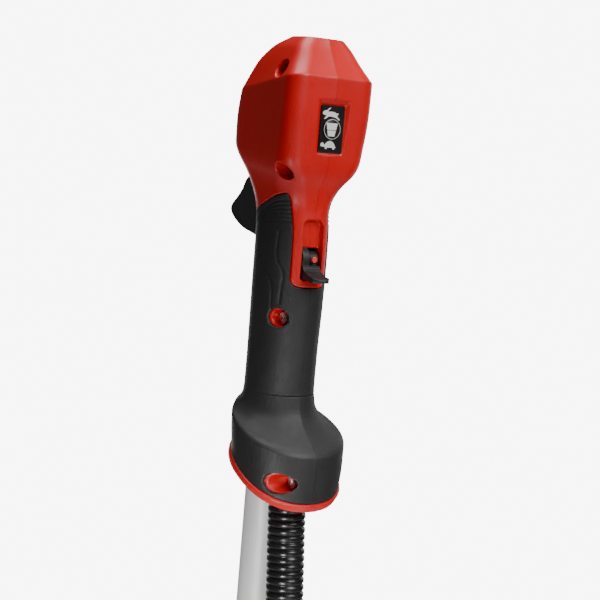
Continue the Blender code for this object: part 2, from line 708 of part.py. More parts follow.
def make_gimbal():
    pivot = axis_empty("head_pitch_axis", 0, PIVOT_Z)
    low, high = PIVOT_Z - 7, PIVOT_Z + 7
    ring = turned("gimbal_ring", [(56, high), (56, low), (50, low), (50, high)], 32)
    holes = [
        rod("ring_x", 4.3, (-80, 0, PIVOT_Z), (80, 0, PIVOT_Z), 20),
        rod("ring_y", 4.3, (0, -80, PIVOT_Z), (0, 80, PIVOT_Z), 20),
    ]
    ring = cut(ring, *holes)
    ring.name = "gimbal_ring"
    finish(ring, "aluminium", pivot)
    for side, word in ((-1, "left"), (1, "right")):
        axle = turned(
            f"pitch_pin_{word}",
            [(0, 71.2), (7, 71.2), (7, 68.4), (5, 68.4), (5, 56.6), (4, 56.6), (4, 50.4), (0, 50.4)],
            20, ring=False,
        )
        axle.data.transform(Matrix.Rotation(side * math.pi / 2, 4, "Y"))
        axle.data.transform(Matrix.Translation((0, 0, PIVOT_Z * MM)))
        finish(axle, "steel", pivot)
    for side, word in ((-1, "front"), (1, "back")):
        axle = rod(f"roll_pin_{word}", 4.0, (0, side * 39.9, PIVOT_Z), (0, side * 56.5, PIVOT_Z), 20)
        finish(axle, "steel", pivot)


# ---------------------------------------------------------------- sanding head

def make_motor():
    head = axis_empty("head_roll_axis", 0, PIVOT_Z)
    wall = 42.0
    housing = turned(
        "motor_housing",
        [(wall, 98), (wall, 45), (44, 40.6), (54, 40.6), (54, 36.6), (13.4, 36.6), (13.4, 48), (20, 48),
         (20, 44.5), (38.5, 44.5), (38.5, 98)],
        28,
    )
    bosses = [rod(f"housing_boss_{s}", 9, (0, s * 40, PIVOT_Z), (0, s * 46.5, PIVOT_Z), 24) for s in (-1, 1)]
    housing = joined(housing, *bosses)
    seats = [rod(f"pin_seat_{s}", 4.3, (0, s * 39.6, PIVOT_Z), (0, s * 60, PIVOT_Z), 20) for s in (-1, 1)]
    housing = cut(housing, *seats)
    housing.name = "motor_housing"
    finish(housing, "black_plastic", head)
    cap = turned(
        "motor_cap",
        [(0, 117), (20, 117), (34, 113), (42, 104), (42, 98.3), (38.2, 98.3), (38.2, 103), (32, 109),
         (18, 111), (18, 97.5), (13.4, 97.5), (13.4, 108), (0, 108)],
        28, ring=False,
    )
    finish(cap, "red", head)
    finish(turned("stator", [(38.2, 82), (38.2, 54), (22.5, 54), (22.5, 82)], 24), "copper", head)
    for name, low, high in (("bearing_lower", 37.2, 47.6), ("bearing_upper", 98.2, 106.0)):
        finish(turned(name, [(13.1, high), (13.1, low), (5.4, low), (5.4, high)], 20), "steel", head)
    return head


def make_shroud(head):
    """The dust hood over the disc, with the port that the hose joins."""
    outer, skin = SHROUD_R, 2.6
    hood = turned(
        "dust_shroud",
        [(50, 36.2), (70, 36.0), (104, 31), (118, 26), (outer, 18), (outer, 12), (outer - skin, 12),
         (outer - skin, 17), (116, 23), (103, 28), (70, 33), (30, 33), (30, 36.2)],
        32,
    )
    y, z = PORT
    hood = joined(hood, rod("port_wall", 15, (0, y, 27), (0, y, z), 28))
    hood = cut(hood, rod("port_bore", 12.6, (0, y, 16), (0, y, z + 8), 24))
    hood.name = "dust_shroud"
    finish(hood, "black_plastic", head)
    ring = turned(
        "brush_ring",
        [(121.5, 11.7), (121.5, 0.3), (117.5, 0.3), (117.5, 16.5), (120.1, 16.5), (120.1, 11.7)], 32,
    )
    finish(ring, "bristle", head)
    for i in range(4):
        angle = math.radians(45 + 90 * i)
        x, y = 49 * math.cos(angle), 49 * math.sin(angle)
        screw = rod(f"shroud_screw_{i + 1}", 3.2, (x, y, 40.9), (x, y, 43.3), 14)
        finish(screw, "steel", head)


def make_disc():
    """What the motor turns: shaft and rotor, backing plate, hook pad and abrasive disc."""
    spin = axis_empty("disc_axis", 0, 0)
    shaft = turned(
        "rotor",
        [(0, 107), (5, 107), (5, 84), (21.5, 84), (21.5, 52), (5, 52), (5, 22.3), (0, 22.3)], 20, ring=False,
    )
    finish(shaft, "steel", spin)
    holes = arc((0, 0), 78, 22.5, 337.5, 7)

    def drilled(obj, name, radius):
        drills = [
            rod(f"{name}_hole_{i}", radius, (x, y, -5), (x, y, 30), 8) for i, (x, y) in enumerate(holes)
        ]
        made = cut(obj, *drills)
        made.name = name
        return made

    backing = turned(
        "backing_plate",
        [(0, 22), (24, 22), (24, 17), (DISC_R - 6, 14.2), (DISC_R - 4, 10.6), (4, 10.6), (4, 14), (0, 14)],
        32, ring=False,
    )
    finish(drilled(backing, "backing_plate", 7), "black_plastic", spin)
    pad = turned("hook_pad", [(DISC_R, 10.3), (DISC_R, 2.2), (11, 2.2), (11, 10.3)], 32)
    finish(drilled(pad, "hook_pad", 7), "foam", spin)
    disc = turned("abrasive_disc", [(DISC_R, 1.9), (DISC_R, 0), (11, 0), (11, 1.9)], 32)
    finish(drilled(disc, "abrasive_disc", 6), "abrasive", spin)
    screw = turned(
        "pad_screw", [(0, 13.7), (3.6, 13.7), (3.6, 10.3), (8, 10.3), (8, 6), (0, 6)], 24, ring=False,
    )
    finish(screw, "steel", spin)


def make_bellows():
    """The flexible end of the dust hose, in two lengths that meet at the gimbal."""
    split_y, split_z = BELLOWS_SPLIT
    y, z = PORT
    whole = smooth_route(
        [(0, -38, 193.6), (0, -38, 184), (0, -42, 162), (0, -51, 140), (0, split_y, split_z), (0, -79, 96),
         (0, y, z + 12), (0, y, z + 0.4)],
        11,
    )
    last = max(i for i, p in enumerate(whole) if p.z > split_z + 1)
    middle = (whole[last] + whole[last + 1]) / 2
    half_gap = (whole[last + 1] - whole[last]).normalized() * GAP / 2
    upper = [*whole[:last + 1], middle - half_gap]
    lower = [middle + half_gap, *whole[last + 1:]]
    finish(tube("hose_bellows_upper", upper, HOSE_R + 1, 2), "rubber")
    finish(tube("hose_bellows_lower", lower, HOSE_R + 1, 2), "rubber")


clear_scene()
PARTS = new_collection("pole_drywall_sander")
CUTTERS = new_collection("cutters")
make_handle_shells()
make_shell_screws()
make_trigger()
make_lock_lever()
make_speed_panel()
make_power_inlet()
make_dust_outlet()
make_pole()
make_hose()
make_fork()
make_gimbal()
make_shroud(make_motor())
make_disc()
make_bellows()
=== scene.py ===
"""The looks of the pole drywall sander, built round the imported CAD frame. Lengths are in millimetres, and
MM turns them into Blender's metres. Heights in the handle's outlines are above GRIP_Z."""

import math

import bmesh
import bpy
from mathutils import Matrix, Vector


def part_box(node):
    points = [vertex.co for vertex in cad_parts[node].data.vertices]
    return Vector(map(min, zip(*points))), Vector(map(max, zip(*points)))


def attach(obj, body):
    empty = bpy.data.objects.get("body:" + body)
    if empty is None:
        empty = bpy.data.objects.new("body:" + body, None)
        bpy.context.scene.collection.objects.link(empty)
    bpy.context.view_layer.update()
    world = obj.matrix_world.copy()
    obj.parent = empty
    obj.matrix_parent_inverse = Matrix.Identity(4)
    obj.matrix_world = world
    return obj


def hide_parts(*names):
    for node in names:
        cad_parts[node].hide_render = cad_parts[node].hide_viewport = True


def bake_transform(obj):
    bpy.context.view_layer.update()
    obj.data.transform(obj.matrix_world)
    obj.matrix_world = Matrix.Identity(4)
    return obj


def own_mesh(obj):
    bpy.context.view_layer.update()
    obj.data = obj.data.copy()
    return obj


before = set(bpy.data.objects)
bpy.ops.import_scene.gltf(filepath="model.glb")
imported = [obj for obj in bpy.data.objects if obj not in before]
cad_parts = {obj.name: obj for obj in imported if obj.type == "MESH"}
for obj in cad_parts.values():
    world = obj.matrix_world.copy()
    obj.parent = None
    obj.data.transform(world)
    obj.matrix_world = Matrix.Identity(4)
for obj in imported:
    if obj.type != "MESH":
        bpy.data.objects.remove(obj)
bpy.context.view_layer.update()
MM = 0.001


def middle(node):
    """The middle of a CAD node's box, in millimetres."""
    low, high = (Vector(c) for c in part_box(node))
    return (low + high) / 2 / MM


def corners(node):
    """The low and high corners of a CAD node's box, in millimetres."""
    return [Vector(c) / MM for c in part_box(node)]


# Places from the frame, with the sizes that the CAD doesn't show by its boxes.
LEVER_ABOVE_GRIP = 27.0
GRIP_Z = middle("lock_lever_pin").z - LEVER_ABOVE_GRIP
POLE_R = (Vector(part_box("pole_tube")[1]) - Vector(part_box("pole_tube")[0])).x / 2 / MM
POLE_LOW, POLE_HIGH = (c[2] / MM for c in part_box("pole_tube"))
PIVOT_Z = middle("gimbal_ring").z
HOSE_R = 11.9
HOSE_TOP_Y = -26.0
OUTLET_TURN, OUTLET_Z = math.radians(20), GRIP_Z - 97.0
OUTLET_START = Vector((0, HOSE_TOP_Y, OUTLET_Z))
OUTLET_WAY = Vector((math.cos(OUTLET_TURN), math.sin(OUTLET_TURN), 0))

# ---- shapes


def link(name, data):
    obj = bpy.data.objects.new(name, data)
    bpy.context.scene.collection.objects.link(obj)
    return obj


def from_points(name, points, faces):
    mesh = bpy.data.meshes.new(name)
    mesh.from_pydata([Vector(p) * MM for p in points], [], faces)
    mesh.update()
    return link(name, mesh)


def from_bmesh(name, shape):
    mesh = bpy.data.meshes.new(name)
    shape.to_mesh(mesh)
    shape.free()
    return link(name, mesh)


def facing_out(obj):
    """Turns every face of a solid outwards."""
    shape = bmesh.new()
    shape.from_mesh(obj.data)
    bmesh.ops.recalc_face_normals(shape, faces=shape.faces)
    shape.to_mesh(obj.data)
    shape.free()
    return obj


def baked(obj):
    """The object as a plain mesh, in place of its curve or modifiers."""
    bpy.context.view_layer.update()
    evaluated = obj.evaluated_get(bpy.context.evaluated_depsgraph_get())
    mesh = bpy.data.meshes.new_from_object(evaluated)
    mesh.transform(obj.matrix_world)
    name = obj.name
    bpy.data.objects.remove(obj)
    made = link(name, mesh)
    made.name = name
    return made


def modified(obj, kind, **settings):
    """The object with one modifier applied."""
    modifier = obj.modifiers.new(kind.lower(), kind)
    for key, value in settings.items():
        setattr(modifier, key, value)
    return baked(obj)


def boolean(obj, operation, *others, keep=False):
    for other in others:
        obj = modified(obj, "BOOLEAN", operation=operation, solver="MANIFOLD", object=other)
        if not keep:
            bpy.data.objects.remove(other)
    return obj


def cut(obj, *cutters, keep=False):
    return boolean(obj, "DIFFERENCE", *cutters, keep=keep)


def copy_of(obj, name):
    return link(name, obj.data.copy())


def block(name, low, high):
    """A box between two corners."""
    shape = bmesh.new()
    bmesh.ops.create_cube(shape, size=1)
    low, high = Vector(low) * MM, Vector(high) * MM
    bmesh.ops.scale(shape, vec=high - low, verts=shape.verts)
    bmesh.ops.translate(shape, vec=(high + low) / 2, verts=shape.verts)
    return from_bmesh(name, shape)


def rod(name, radius, start, end, sides=48):
    """A cylinder between two points."""
    start, end = Vector(start) * MM, Vector(end) * MM
    shape = bmesh.new()
    bmesh.ops.create_cone(
        shape, cap_ends=True, segments=sides, radius1=radius * MM, radius2=radius * MM,
        depth=(end - start).length,
    )
    turn = (end - start).to_track_quat("Z", "Y").to_matrix()
    bmesh.ops.rotate(shape, matrix=turn, verts=shape.verts)
    bmesh.ops.translate(shape, vec=(start + end) / 2, verts=shape.verts)
    return from_bmesh(name, shape)


def upright(name, radius, low, high, y=0):
    """A vertical cylinder in the plane x = 0."""
    return rod(name, radius, (0, y, low), (0, y, high), 96)


def outline_stack(name, layers, plane="XZ"):
    """A solid through outlines with the same number of points, each at its own place across the plane.
    XZ outlines are (x, z) at a y, and YZ outlines are (y, z) at an x."""
    points = []
    for place, outline in layers:
        points += [(a, place, b) if plane == "XZ" else (place, a, b) for a, b in outline]
    count = len(layers[0][1])
    faces = [list(range(count)), list(range(len(points) - count, len(points)))[::-1]]
    for row in range(len(layers) - 1):
        for i in range(count):
            a, b = row * count + i, row * count + (i + 1) % count
            faces.append([a, a + count, b + count, b])
    return facing_out(from_points(name, points, faces))


def arc(centre, radius, start, end, count):
    """Points round a circle from one angle to another, in degrees."""
    found = []
    for i in range(count + 1):
        angle = math.radians(start + (end - start) * i / count)
        found.append((centre[0] + radius * math.cos(angle), centre[1] + radius * math.sin(angle)))
    return found


def rounded_box(half_x, low, high, low_r, high_r, count=8):
    """An upright outline with rounded corners."""
    return [
        *arc((half_x - low_r, low + low_r), low_r, -90, 0, count),
        *arc((half_x - high_r, high - high_r), high_r, 0, 90, count),
        *arc((high_r - half_x, high - high_r), high_r, 90, 180, count),
        *arc((low_r - half_x, low + low_r), low_r, 180, 270, count),
    ]


def turned(name, profile, segments=96, ring=False, centre=(0, 0)):
    """A turned shape about a vertical axis, from (radius, z) points down its outer side."""
    count = len(profile)
    edges = [(i, (i + 1) % count) for i in range(count if ring else count - 1)]
    mesh = bpy.data.meshes.new(name)
    mesh.from_pydata([Vector((r, 0, z)) * MM for r, z in profile], edges, [])
    obj = link(name, mesh)
    obj = modified(
        obj, "SCREW", steps=segments, render_steps=segments, use_merge_vertices=True,
        merge_threshold=0.00001, use_smooth_shade=False,
    )
    obj.data.transform(Matrix.Translation((centre[0] * MM, centre[1] * MM, 0)))
    return facing_out(obj)


def smooth_route(points, step):
    """Points about a step apart on a smooth curve through these."""
    points = [Vector(p) for p in points]
    ends = [2 * points[0] - points[1], *points, 2 * points[-1] - points[-2]]
    route = []
    for before, a, b, after in zip(ends, ends[1:], ends[2:], ends[3:]):
        count = max(1, round((b - a).length / step))
        for i in range(count):
            t = i / count
            route.append(
                0.5 * (2 * a + (b - before) * t + (2 * before - 5 * a + 4 * b - after) * t**2
                       + (3 * a - before - 3 * b + after) * t**3)
            )
    return [*route, points[-1]]


def smooth_outline(points, step):
    """The same for an outline's points, in its own plane."""
    return [tuple(p[:2]) for p in smooth_route([(a, b, 0) for a, b in points], step)]


def tube(name, points, sides):
    """A solid through rings of this many points each, closed at both ends."""
    faces = []
    for row in range(len(points) // sides - 1):
        for k in range(sides):
            a, b = row * sides + k, row * sides + (k + 1) % sides
            faces.append([a, b, b + sides, a + sides])
    faces += [list(range(sides)), [len(points) - sides + k for k in range(sides)]]
    return facing_out(from_points(name, points, faces))


def smooth(obj, angle=35):
    obj.data.shade_smooth()
    obj.data.set_sharp_from_angle(angle=math.radians(angle))
    return obj


def moulded(obj, voxel, rounds):
    """Rounds every edge of a solid as a mould does: a fine remesh, then smoothing."""
    obj = modified(obj, "REMESH", mode="VOXEL", voxel_size=voxel * MM, use_smooth_shade=True)
    return modified(obj, "SMOOTH", factor=0.5, iterations=rounds)


def finish(obj, paint, body, node=None):
    """Paints a piece and puts it on its body, for the CAD node given or the one in its name after fine_."""
    obj.data.materials.clear()
    obj.data.materials.append(paint)
    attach(obj, body)
    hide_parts(node or obj.name.removeprefix("fine_"))


# ---- materials


def plain_material(name, colour, roughness, metallic=0.0):
    """A new material with its node tree and its Principled shader."""
    made = bpy.data.materials.new(name)
    made.use_nodes = True
    tree = made.node_tree
    shader = tree.nodes["Principled BSDF"]
    shader.inputs["Base Color"].default_value = (*colour, 1)
    shader.inputs["Roughness"].default_value = roughness
    shader.inputs["Metallic"].default_value = metallic
    return made, tree, shader


def noise(tree, scale, detail=4.0, stretch=None):
    """Noise in object space, with scale in features per metre."""
    coordinates = tree.nodes.new("ShaderNodeTexCoord")
    source = coordinates.outputs["Object"]
    if stretch:
        mapping = tree.nodes.new("ShaderNodeMapping")
        mapping.inputs["Scale"].default_value = stretch
        tree.links.new(source, mapping.inputs["Vector"])
        source = mapping.outputs["Vector"]
    made = tree.nodes.new("ShaderNodeTexNoise")
    made.inputs["Scale"].default_value = scale
    made.inputs["Detail"].default_value = detail
    tree.links.new(source, made.inputs["Vector"])
    return made.outputs["Fac"]


def ramp(tree, source, *stops):
    """A colour ramp. Each stop is (place, colour)."""
    made = tree.nodes.new("ShaderNodeValToRGB")
    elements = made.color_ramp.elements
    while len(elements) < len(stops):
        elements.new(0.5)
    for element, (place, colour) in zip(elements, stops):
        element.position = place
        element.color = (*colour, 1)
    tree.links.new(source, made.inputs["Fac"])
    return made.outputs["Color"]


def shade(colour, factor):
    """The colour made lighter or darker by this factor."""
    return tuple(min(1.0, c * factor) for c in colour)


def bump(tree, shader, source, strength, distance):
    made = tree.nodes.new("ShaderNodeBump")
    made.inputs["Strength"].default_value = strength
    made.inputs["Distance"].default_value = distance * MM
    tree.links.new(source, made.inputs["Height"])
    tree.links.new(made.outputs["Normal"], shader.inputs["Normal"])


def plastic(name, colour, roughness, grain=1800.0, grain_depth=0.05, spread=0.05, tint=0.06, coat=0.0):
    """Moulded plastic or rubber: a fine spark-eroded grain, with slight unevenness in colour and gloss."""
    made, tree, shader = plain_material(name, colour, roughness)
    uneven = noise(tree, 35.0, 3.0)
    stain = ramp(tree, uneven, (0.3, shade(colour, 1 - tint)), (0.7, shade(colour, 1 + tint)))
    tree.links.new(stain, shader.inputs["Base Color"])
    low, high = (roughness - spread,) * 3, (roughness + spread,) * 3
    gloss = ramp(tree, noise(tree, 90.0, 5.0), (0.3, low), (0.7, high))
    tree.links.new(gloss, shader.inputs["Roughness"])
    bump(tree, shader, noise(tree, grain, 2.0), 0.5, grain_depth)
    shader.inputs["Coat Weight"].default_value = coat
    shader.inputs["Coat Roughness"].default_value = 0.25
    return made


def metal(name, colour, roughness, stretch, grain_depth=0.02, metallic=1.0):
    """Drawn or turned metal, whose fine lines are long along the stretch's small axis."""
    made, tree, shader = plain_material(name, colour, roughness, metallic)
    lines = noise(tree, 900.0, 3.0, stretch)
    tint = ramp(tree, lines, (0.3, shade(colour, 0.93)), (0.7, shade(colour, 1.05)))
    tree.links.new(tint, shader.inputs["Base Color"])
    gloss = ramp(tree, lines, (0.3, (roughness - 0.05,) * 3), (0.7, (roughness + 0.06,) * 3))
    tree.links.new(gloss, shader.inputs["Roughness"])
    bump(tree, shader, lines, 0.3, grain_depth)
    return made


RED = plastic("red_plastic", (0.60, 0.003, 0.003), 0.40, grain_depth=0.03, spread=0.04, tint=0.04, coat=0.05)
RUBBER = plastic(
    "soft_rubber", (0.016, 0.016, 0.016), 0.55, grain=2600.0, grain_depth=0.08, spread=0.06, tint=0.15)
BLACK = plastic("black_plastic", (0.018, 0.018, 0.019), 0.42, tint=0.12)
HOSE = plastic("hose_plastic", (0.008, 0.008, 0.008), 0.26, grain=600.0, grain_depth=0.03, tint=0.15)
POLE = metal("pole_paint", (0.66, 0.655, 0.65), 0.5, (1.0, 1.0, 0.02), metallic=0.15)
STEEL = metal("zinc_steel", (0.55, 0.54, 0.52), 0.32, (1.0, 1.0, 1.0))
ALLOY = metal("cast_alloy", (0.5, 0.5, 0.51), 0.38, (1.0, 1.0, 1.0), grain_depth=0.05)
COPPER = metal("copper_wire", (0.75, 0.36, 0.16), 0.35, (1.0, 1.0, 4.0), grain_depth=0.1)
BOARD = plastic("circuit_board", (0.02, 0.17, 0.07), 0.4)
MARK = plastic("red_mark", (0.85, 0.06, 0.05), 0.25, coat=0.5)
WHITE = plastic("white_print", (0.75, 0.75, 0.73), 0.5, tint=0.03)
FOAM = plastic("grey_foam", (0.10, 0.10, 0.11), 0.85, grain=900.0, grain_depth=0.4, tint=0.2)
GRIT = plastic("abrasive_grit", (0.42, 0.26, 0.12), 0.9, grain=1500.0, grain_depth=0.3, tint=0.25)
PANEL = plastic("panel_gloss", (0.008, 0.008, 0.008), 0.3, grain_depth=0.01, tint=0.1)
BRISTLE = plastic("brush_fibre", (0.03, 0.03, 0.03), 0.7, grain=900.0, grain_depth=0.3, tint=0.3)


# ---- handle surface

# Cross-sections of the handle's outer surface, bottom to top:
# (z front, z back, half width, front y, back y, front corner width share, its depth, its roundness,
#  back corner width share, its depth, how far the front falls back beside its middle crease, fillet).
SECTIONS = (
    (-125.6, -90.4, 33.6, -51.1, 18.7, 1.00, 33.9, 2.20, 1.0, 33.4, 0.00, 0.0),
    (-121.3, -87.1, 34.8, -53.5, 18.1, 1.00, 33.3, 2.20, 1.0, 38.0, 0.00, 0.0),
    (-120.4, -86.2, 33.6, -52.7, 16.1, 1.00, 33.3, 2.20, 1.0, 38.0, 0.00, 0.0),
    (-108.0, -76.2, 34.5, -53.7, 17.7, 1.00, 32.2, 2.20, 1.0, 37.5, 0.20, 5.0),
    (-89.8, -64.2, 35.6, -53.3, 16.8, 1.00, 32.6, 2.15, 1.0, 36.2, 0.70, 2.6),
    (-81.8, -64.1, 29.3, -43.7, 20.8, 1.00, 29.8, 2.00, 1.0, 30.5, 1.60, 4.0),
    (-71.7, -60.3, 23.0, -32.6, 18.8, 1.00, 24.3, 2.00, 1.0, 28.2, 1.30, 5.0),
    (-57.7, -57.2, 21.0, -29.9, 18.8, 1.00, 23.5, 2.00, 1.0, 25.1, 0.10, 6.0),
    (-29.9, -30.0, 20.5, -30.9, 19.2, 1.00, 24.3, 2.00, 1.0, 24.7, 0.00, 12.0),
    (10.1, 10.0, 21.4, -31.9, 19.0, 1.00, 23.8, 2.00, 1.0, 25.1, 0.00, 18.0),
    (42.8, 43.0, 20.5, -30.9, 19.8, 0.90, 21.8, 2.00, 1.0, 24.1, 0.00, 14.0),
    (58.9, 60.1, 19.3, -29.2, 22.5, 0.80, 20.3, 2.00, 1.0, 22.0, 0.15, 7.0),
    (69.7, 77.2, 22.3, -31.8, 29.2, 0.62, 17.2, 2.00, 1.0, 19.7, 0.30, 6.0),
    (81.1, 92.1, 29.7, -38.6, 32.0, 0.45, 13.1, 2.00, 0.5, 15.9, 0.50, 6.0),
    (112.4, 112.1, 31.2, -41.3, 28.5, 0.36, 10.8, 2.00, 0.4, 13.4, 0.60, 9.0),
    (137.3, 126.3, 30.9, -41.8, 25.0, 0.36, 10.0, 2.00, 0.4, 11.8, 0.60, 0.4),
    (146.3, 145.9, 24.6, -36.4, 17.9, 0.38, 10.1, 2.00, 0.4, 12.5, 0.80, 4.0),
    (155.3, 156.0, 19.7, -31.4, 7.9, 0.39, 9.3, 2.00, 0.5, 12.0, 0.80, 3.5),
    (160.7, 161.2, 14.4, -29.0, -5.5, 0.46, 8.9, 2.00, 0.6, 7.7, 0.80, 0.0),
)
Z_FRONT, Z_BACK, HALF, FRONT, BACK, F_SHARE, F_DEPTH, F_ROUND, B_SHARE, B_DEPTH, CREASE, FILLET = range(12)
SKIRT_RIM, SKIRT_TOP = 2, 7  # the sections where the skirt's cover starts and ends
LAYER = 1.6  # between the rings of a loft
PLACES = [(s[Z_FRONT] + s[Z_BACK]) / 2 for s in SECTIONS]


def blended_section(place):
    """The cross-section at this place: straight between the stated ones, with a fillet at each."""

    def straight(at, i):
        t = (at - PLACES[i]) / (PLACES[i + 1] - PLACES[i])
        return [a + (b - a) * t for a, b in zip(SECTIONS[i], SECTIONS[i + 1])]

    for i in range(1, len(SECTIONS) - 1):
        reach = min(SECTIONS[i][FILLET], (PLACES[i] - PLACES[i - 1]) / 2, (PLACES[i + 1] - PLACES[i]) / 2)
        if abs(place - PLACES[i]) < reach:
            t = (place - PLACES[i] + reach) / (2 * reach)
            start, end = straight(PLACES[i] - reach, i - 1), straight(PLACES[i] + reach, i)
            return [
                a * (1 - t) ** 2 + 2 * b * t * (1 - t) + c * t**2
                for a, b, c in zip(start, SECTIONS[i], end)
            ]
    i = max(k for k in range(len(PLACES) - 1) if PLACES[k] <= place + 1e-9)
    return straight(place, i)


def section_ring(section, inset=0.0):
    """Points round one cross-section, this far inside the outer surface."""
    flat, corner, side = 10, 18, 12  # points along the front or back, round a corner, along a side
    front, back = section[FRONT] + inset, section[BACK] - inset
    half = section[HALF] - inset
    slope = (section[Z_BACK] - section[Z_FRONT]) / (section[BACK] - section[FRONT])
    f_width, b_width = (half * min(section[k], 0.985) for k in (F_SHARE, B_SHARE))
    f_depth = section[F_DEPTH] - inset
    b_depth = min(section[B_DEPTH] - inset, back - front - f_depth - 0.6)
    power = 2 / section[F_ROUND]
    left = [(-(half - f_width) * i / flat, front) for i in range(flat)]
    for i in range(corner + 1):
        angle = math.pi / 2 * i / corner
        across, along = math.sin(angle) ** power, max(math.cos(angle), 0.0) ** power
        left.append((-(half - f_width) - f_width * across, front + f_depth * (1 - along)))
    left = [(x, y - 4 * section[CREASE] * x / half * (1 + x / half)) for x, y in left]
    low, high = front + f_depth, back - b_depth
    left += [(-half, low + (high - low) * i / side) for i in range(1, side)]
    for i in range(corner + 1):
        angle = math.pi / 2 * i / corner
        left.append((-(half - b_width) - b_width * math.cos(angle), back - b_depth * (1 - math.sin(angle))))
    left += [(-(half - b_width) * (1 - i / flat), back) for i in range(1, flat + 1)]
    outline = left + [(-x, y) for x, y in left[-2:0:-1]]
    return [(x, y, GRIP_Z + section[Z_FRONT] + slope * (y - section[FRONT])) for x, y in outline]


def loft(name, low=0, high=len(SECTIONS) - 1, inset=0.0, stretch=(0.0, 0.0)):
    """A solid of the handle's cross-sections, between two of them. stretch moves its ends down and up."""
    places = []
    for i in range(low, high):
        count = max(2, round((PLACES[i + 1] - PLACES[i]) / LAYER))
        places += [PLACES[i] + (PLACES[i + 1] - PLACES[i]) * k / count for k in range(count)]
    rings = [section_ring(blended_section(p), inset) for p in [*places, PLACES[high]]]
    rings[0] = [(x, y, z - stretch[0]) for x, y, z in rings[0]]
    rings[-1] = [(x, y, z + stretch[1]) for x, y, z in rings[-1]]
    count = len(rings[0])
    points = [p for ring in rings for p in ring]
    faces = [list(range(count))[::-1], [len(points) - count + i for i in range(count)]]
    for row in range(len(rings) - 1):
        for i in range(count):
            a, b = row * count + i, row * count + (i + 1) % count
            faces += [[a, b, b + count], [a, b + count, a + count]]
    return facing_out(from_points(name, points, faces))


# ---- handle

SHELL_SCREWS = [middle(f"shell_screw_{i}") for i in range(1, 5)]
WELL_R = (5.5, 5.0, 4.9, 5.3)
WELL_FLOOR_X = -9.3
SHELL_WALL = 5.0
COVER = 1.8  # thickness of the soft covers
COVER_GAP = 0.35  # between a soft cover and its seat
COVER_WELL_GAP, COVER_WELL_FLOOR_X = 0.9, -4.0
OUTSIDE = -6.0  # an inset that lies outside the surface
BEYOND = (30.0, 30.0)  # a stretch well past both ends
PARTING_GAP = 0.06
OUTLET_HOLE_R, COVER_OUTLET_R = 11.8, 12.1
LABEL_Z = GRIP_Z + 106.4
GRIP_LINES = (
    ((-18.8, 42), (-19, 27), (-23.4, 18.3), (-23.2, 10), (-22.6, -1)),
    ((-4.6, 27), (-9, 19.5), (-15.6, 13.0), (-17.5, 4.7), (-17.7, -14)),
)  # (y, height) along the two grooves in each side of the grip
LINES_LOW, LINES_HIGH, LINE_DEPTH, LINE_WIDTH = -16, 44, 0.55, 0.75
ARC_COUNT, ARC_PITCH, ARC_DEPTH, ARC_WIDTH = 6, 2.5, 0.5, 0.6


def tongue(grow, name):
    """The red tongue's outline in front view, wider towards its top."""
    z = GRIP_Z
    side = [
        (12.6, 16.0), (12.7, 30.0), (12.9, 44.0), (13.6, 54.0), (15.0, 61.5), (17.0, 65.6), (19.8, 68.0),
        (25, 69.5),
    ]
    right = [(x + grow, z + h) for x, h in side]
    corner = arc((7.2, z + 15.2), 5.6 + grow, -90, -5, 8)
    outline = corner + right + [(25 + grow, z + 100)]
    outline += [(-x, h) for x, h in outline[::-1]]
    return outline_stack(name, [(-70, outline), (-14, outline)])


def grip_space(grow, name):
    """The space of the grip cover."""
    z = GRIP_Z
    top = [(60, 46), (19, 50.5), (4, 56.4), (-6.6, 61.2), (-15, 64.4), (-22.5, 66.2), (-60, 66.6)]
    side = [(-60, z - 57.9 - grow), (60, z - 57.9 - grow)] + [(y, z + h + grow) for y, h in top]
    return cut(outline_stack(name, [(-45, side), (45, side)], "YZ"), tongue(-grow, name + "_tongue"))


def wells(grow=0.0, floor=WELL_FLOOR_X):
    """The cutters of the four screw wells, which enter from the left."""
    return [
        rod(f"well_{i}", radius + grow, (-80, p.y, p.z), (floor, p.y, p.z))
        for i, (p, radius) in enumerate(zip(SHELL_SCREWS, WELL_R))
    ]


def outlet_rod(name, radius):
    """A rod along the dust outlet, outwards through the skirt's right side."""
    return rod(name, radius, OUTLET_START + 8 * OUTLET_WAY, OUTLET_START + 80 * OUTLET_WAY)


def shell_cutters():
    """The shell's openings for the pole, the hose, the outlet, the controls and the power inlet."""
    z = GRIP_Z
    below = z - 160
    slot = rounded_box(7.5, z + 14.0, z + 51.3, 2.5, 4.5)
    window = rounded_box(7.4, z + 16.6, z + 33.6, 0.8, 0.5)
    mouth = rounded_box(15.3, LABEL_Z - 21.4, LABEL_Z + 21.4, 0.6, 0.6, 4)
    floor = rounded_box(8.9, LABEL_Z - 14.3, LABEL_Z + 14.3, 0.3, 0.3, 4)
    inlet_low, inlet_high = corners("power_inlet")
    return [
        rod("pole_hole", POLE_R + 0.4, (0, 0, below), (0, 0, z + 4.3)),
        rod("hose_hole", HOSE_R + 0.9, (0, HOSE_TOP_Y, below), (0, HOSE_TOP_Y, z - 90)),
        rod("elbow_hole", OUTLET_HOLE_R, (-5.6, -28.1, z - 111.5), (18.8, -19.2, z - 85.5)),
        outlet_rod("outlet_hole", OUTLET_HOLE_R),
        outline_stack("slot", [(-60, slot), (-25.3, slot)]),
        outline_stack("lever_window", [(-59, window), (-12, window)]),
        block("trigger_slot", (-9, 8, z + 35), (9, 60, z + 79)),
        block("hub_slot", (-9, 12, z + 78), (9, 27, z + 90)),
        outline_stack("label_pocket", [(-44.0, mouth), (-38.5, floor)]),
        rod("button_hole", 3.0, (0, -45, z + 106.7), (0, -28, z + 106.7)),
        block("inlet_hole", (-9.9, 6, inlet_low.z - 0.2), (9.9, 60, inlet_high.z + 0.2)),
    ]


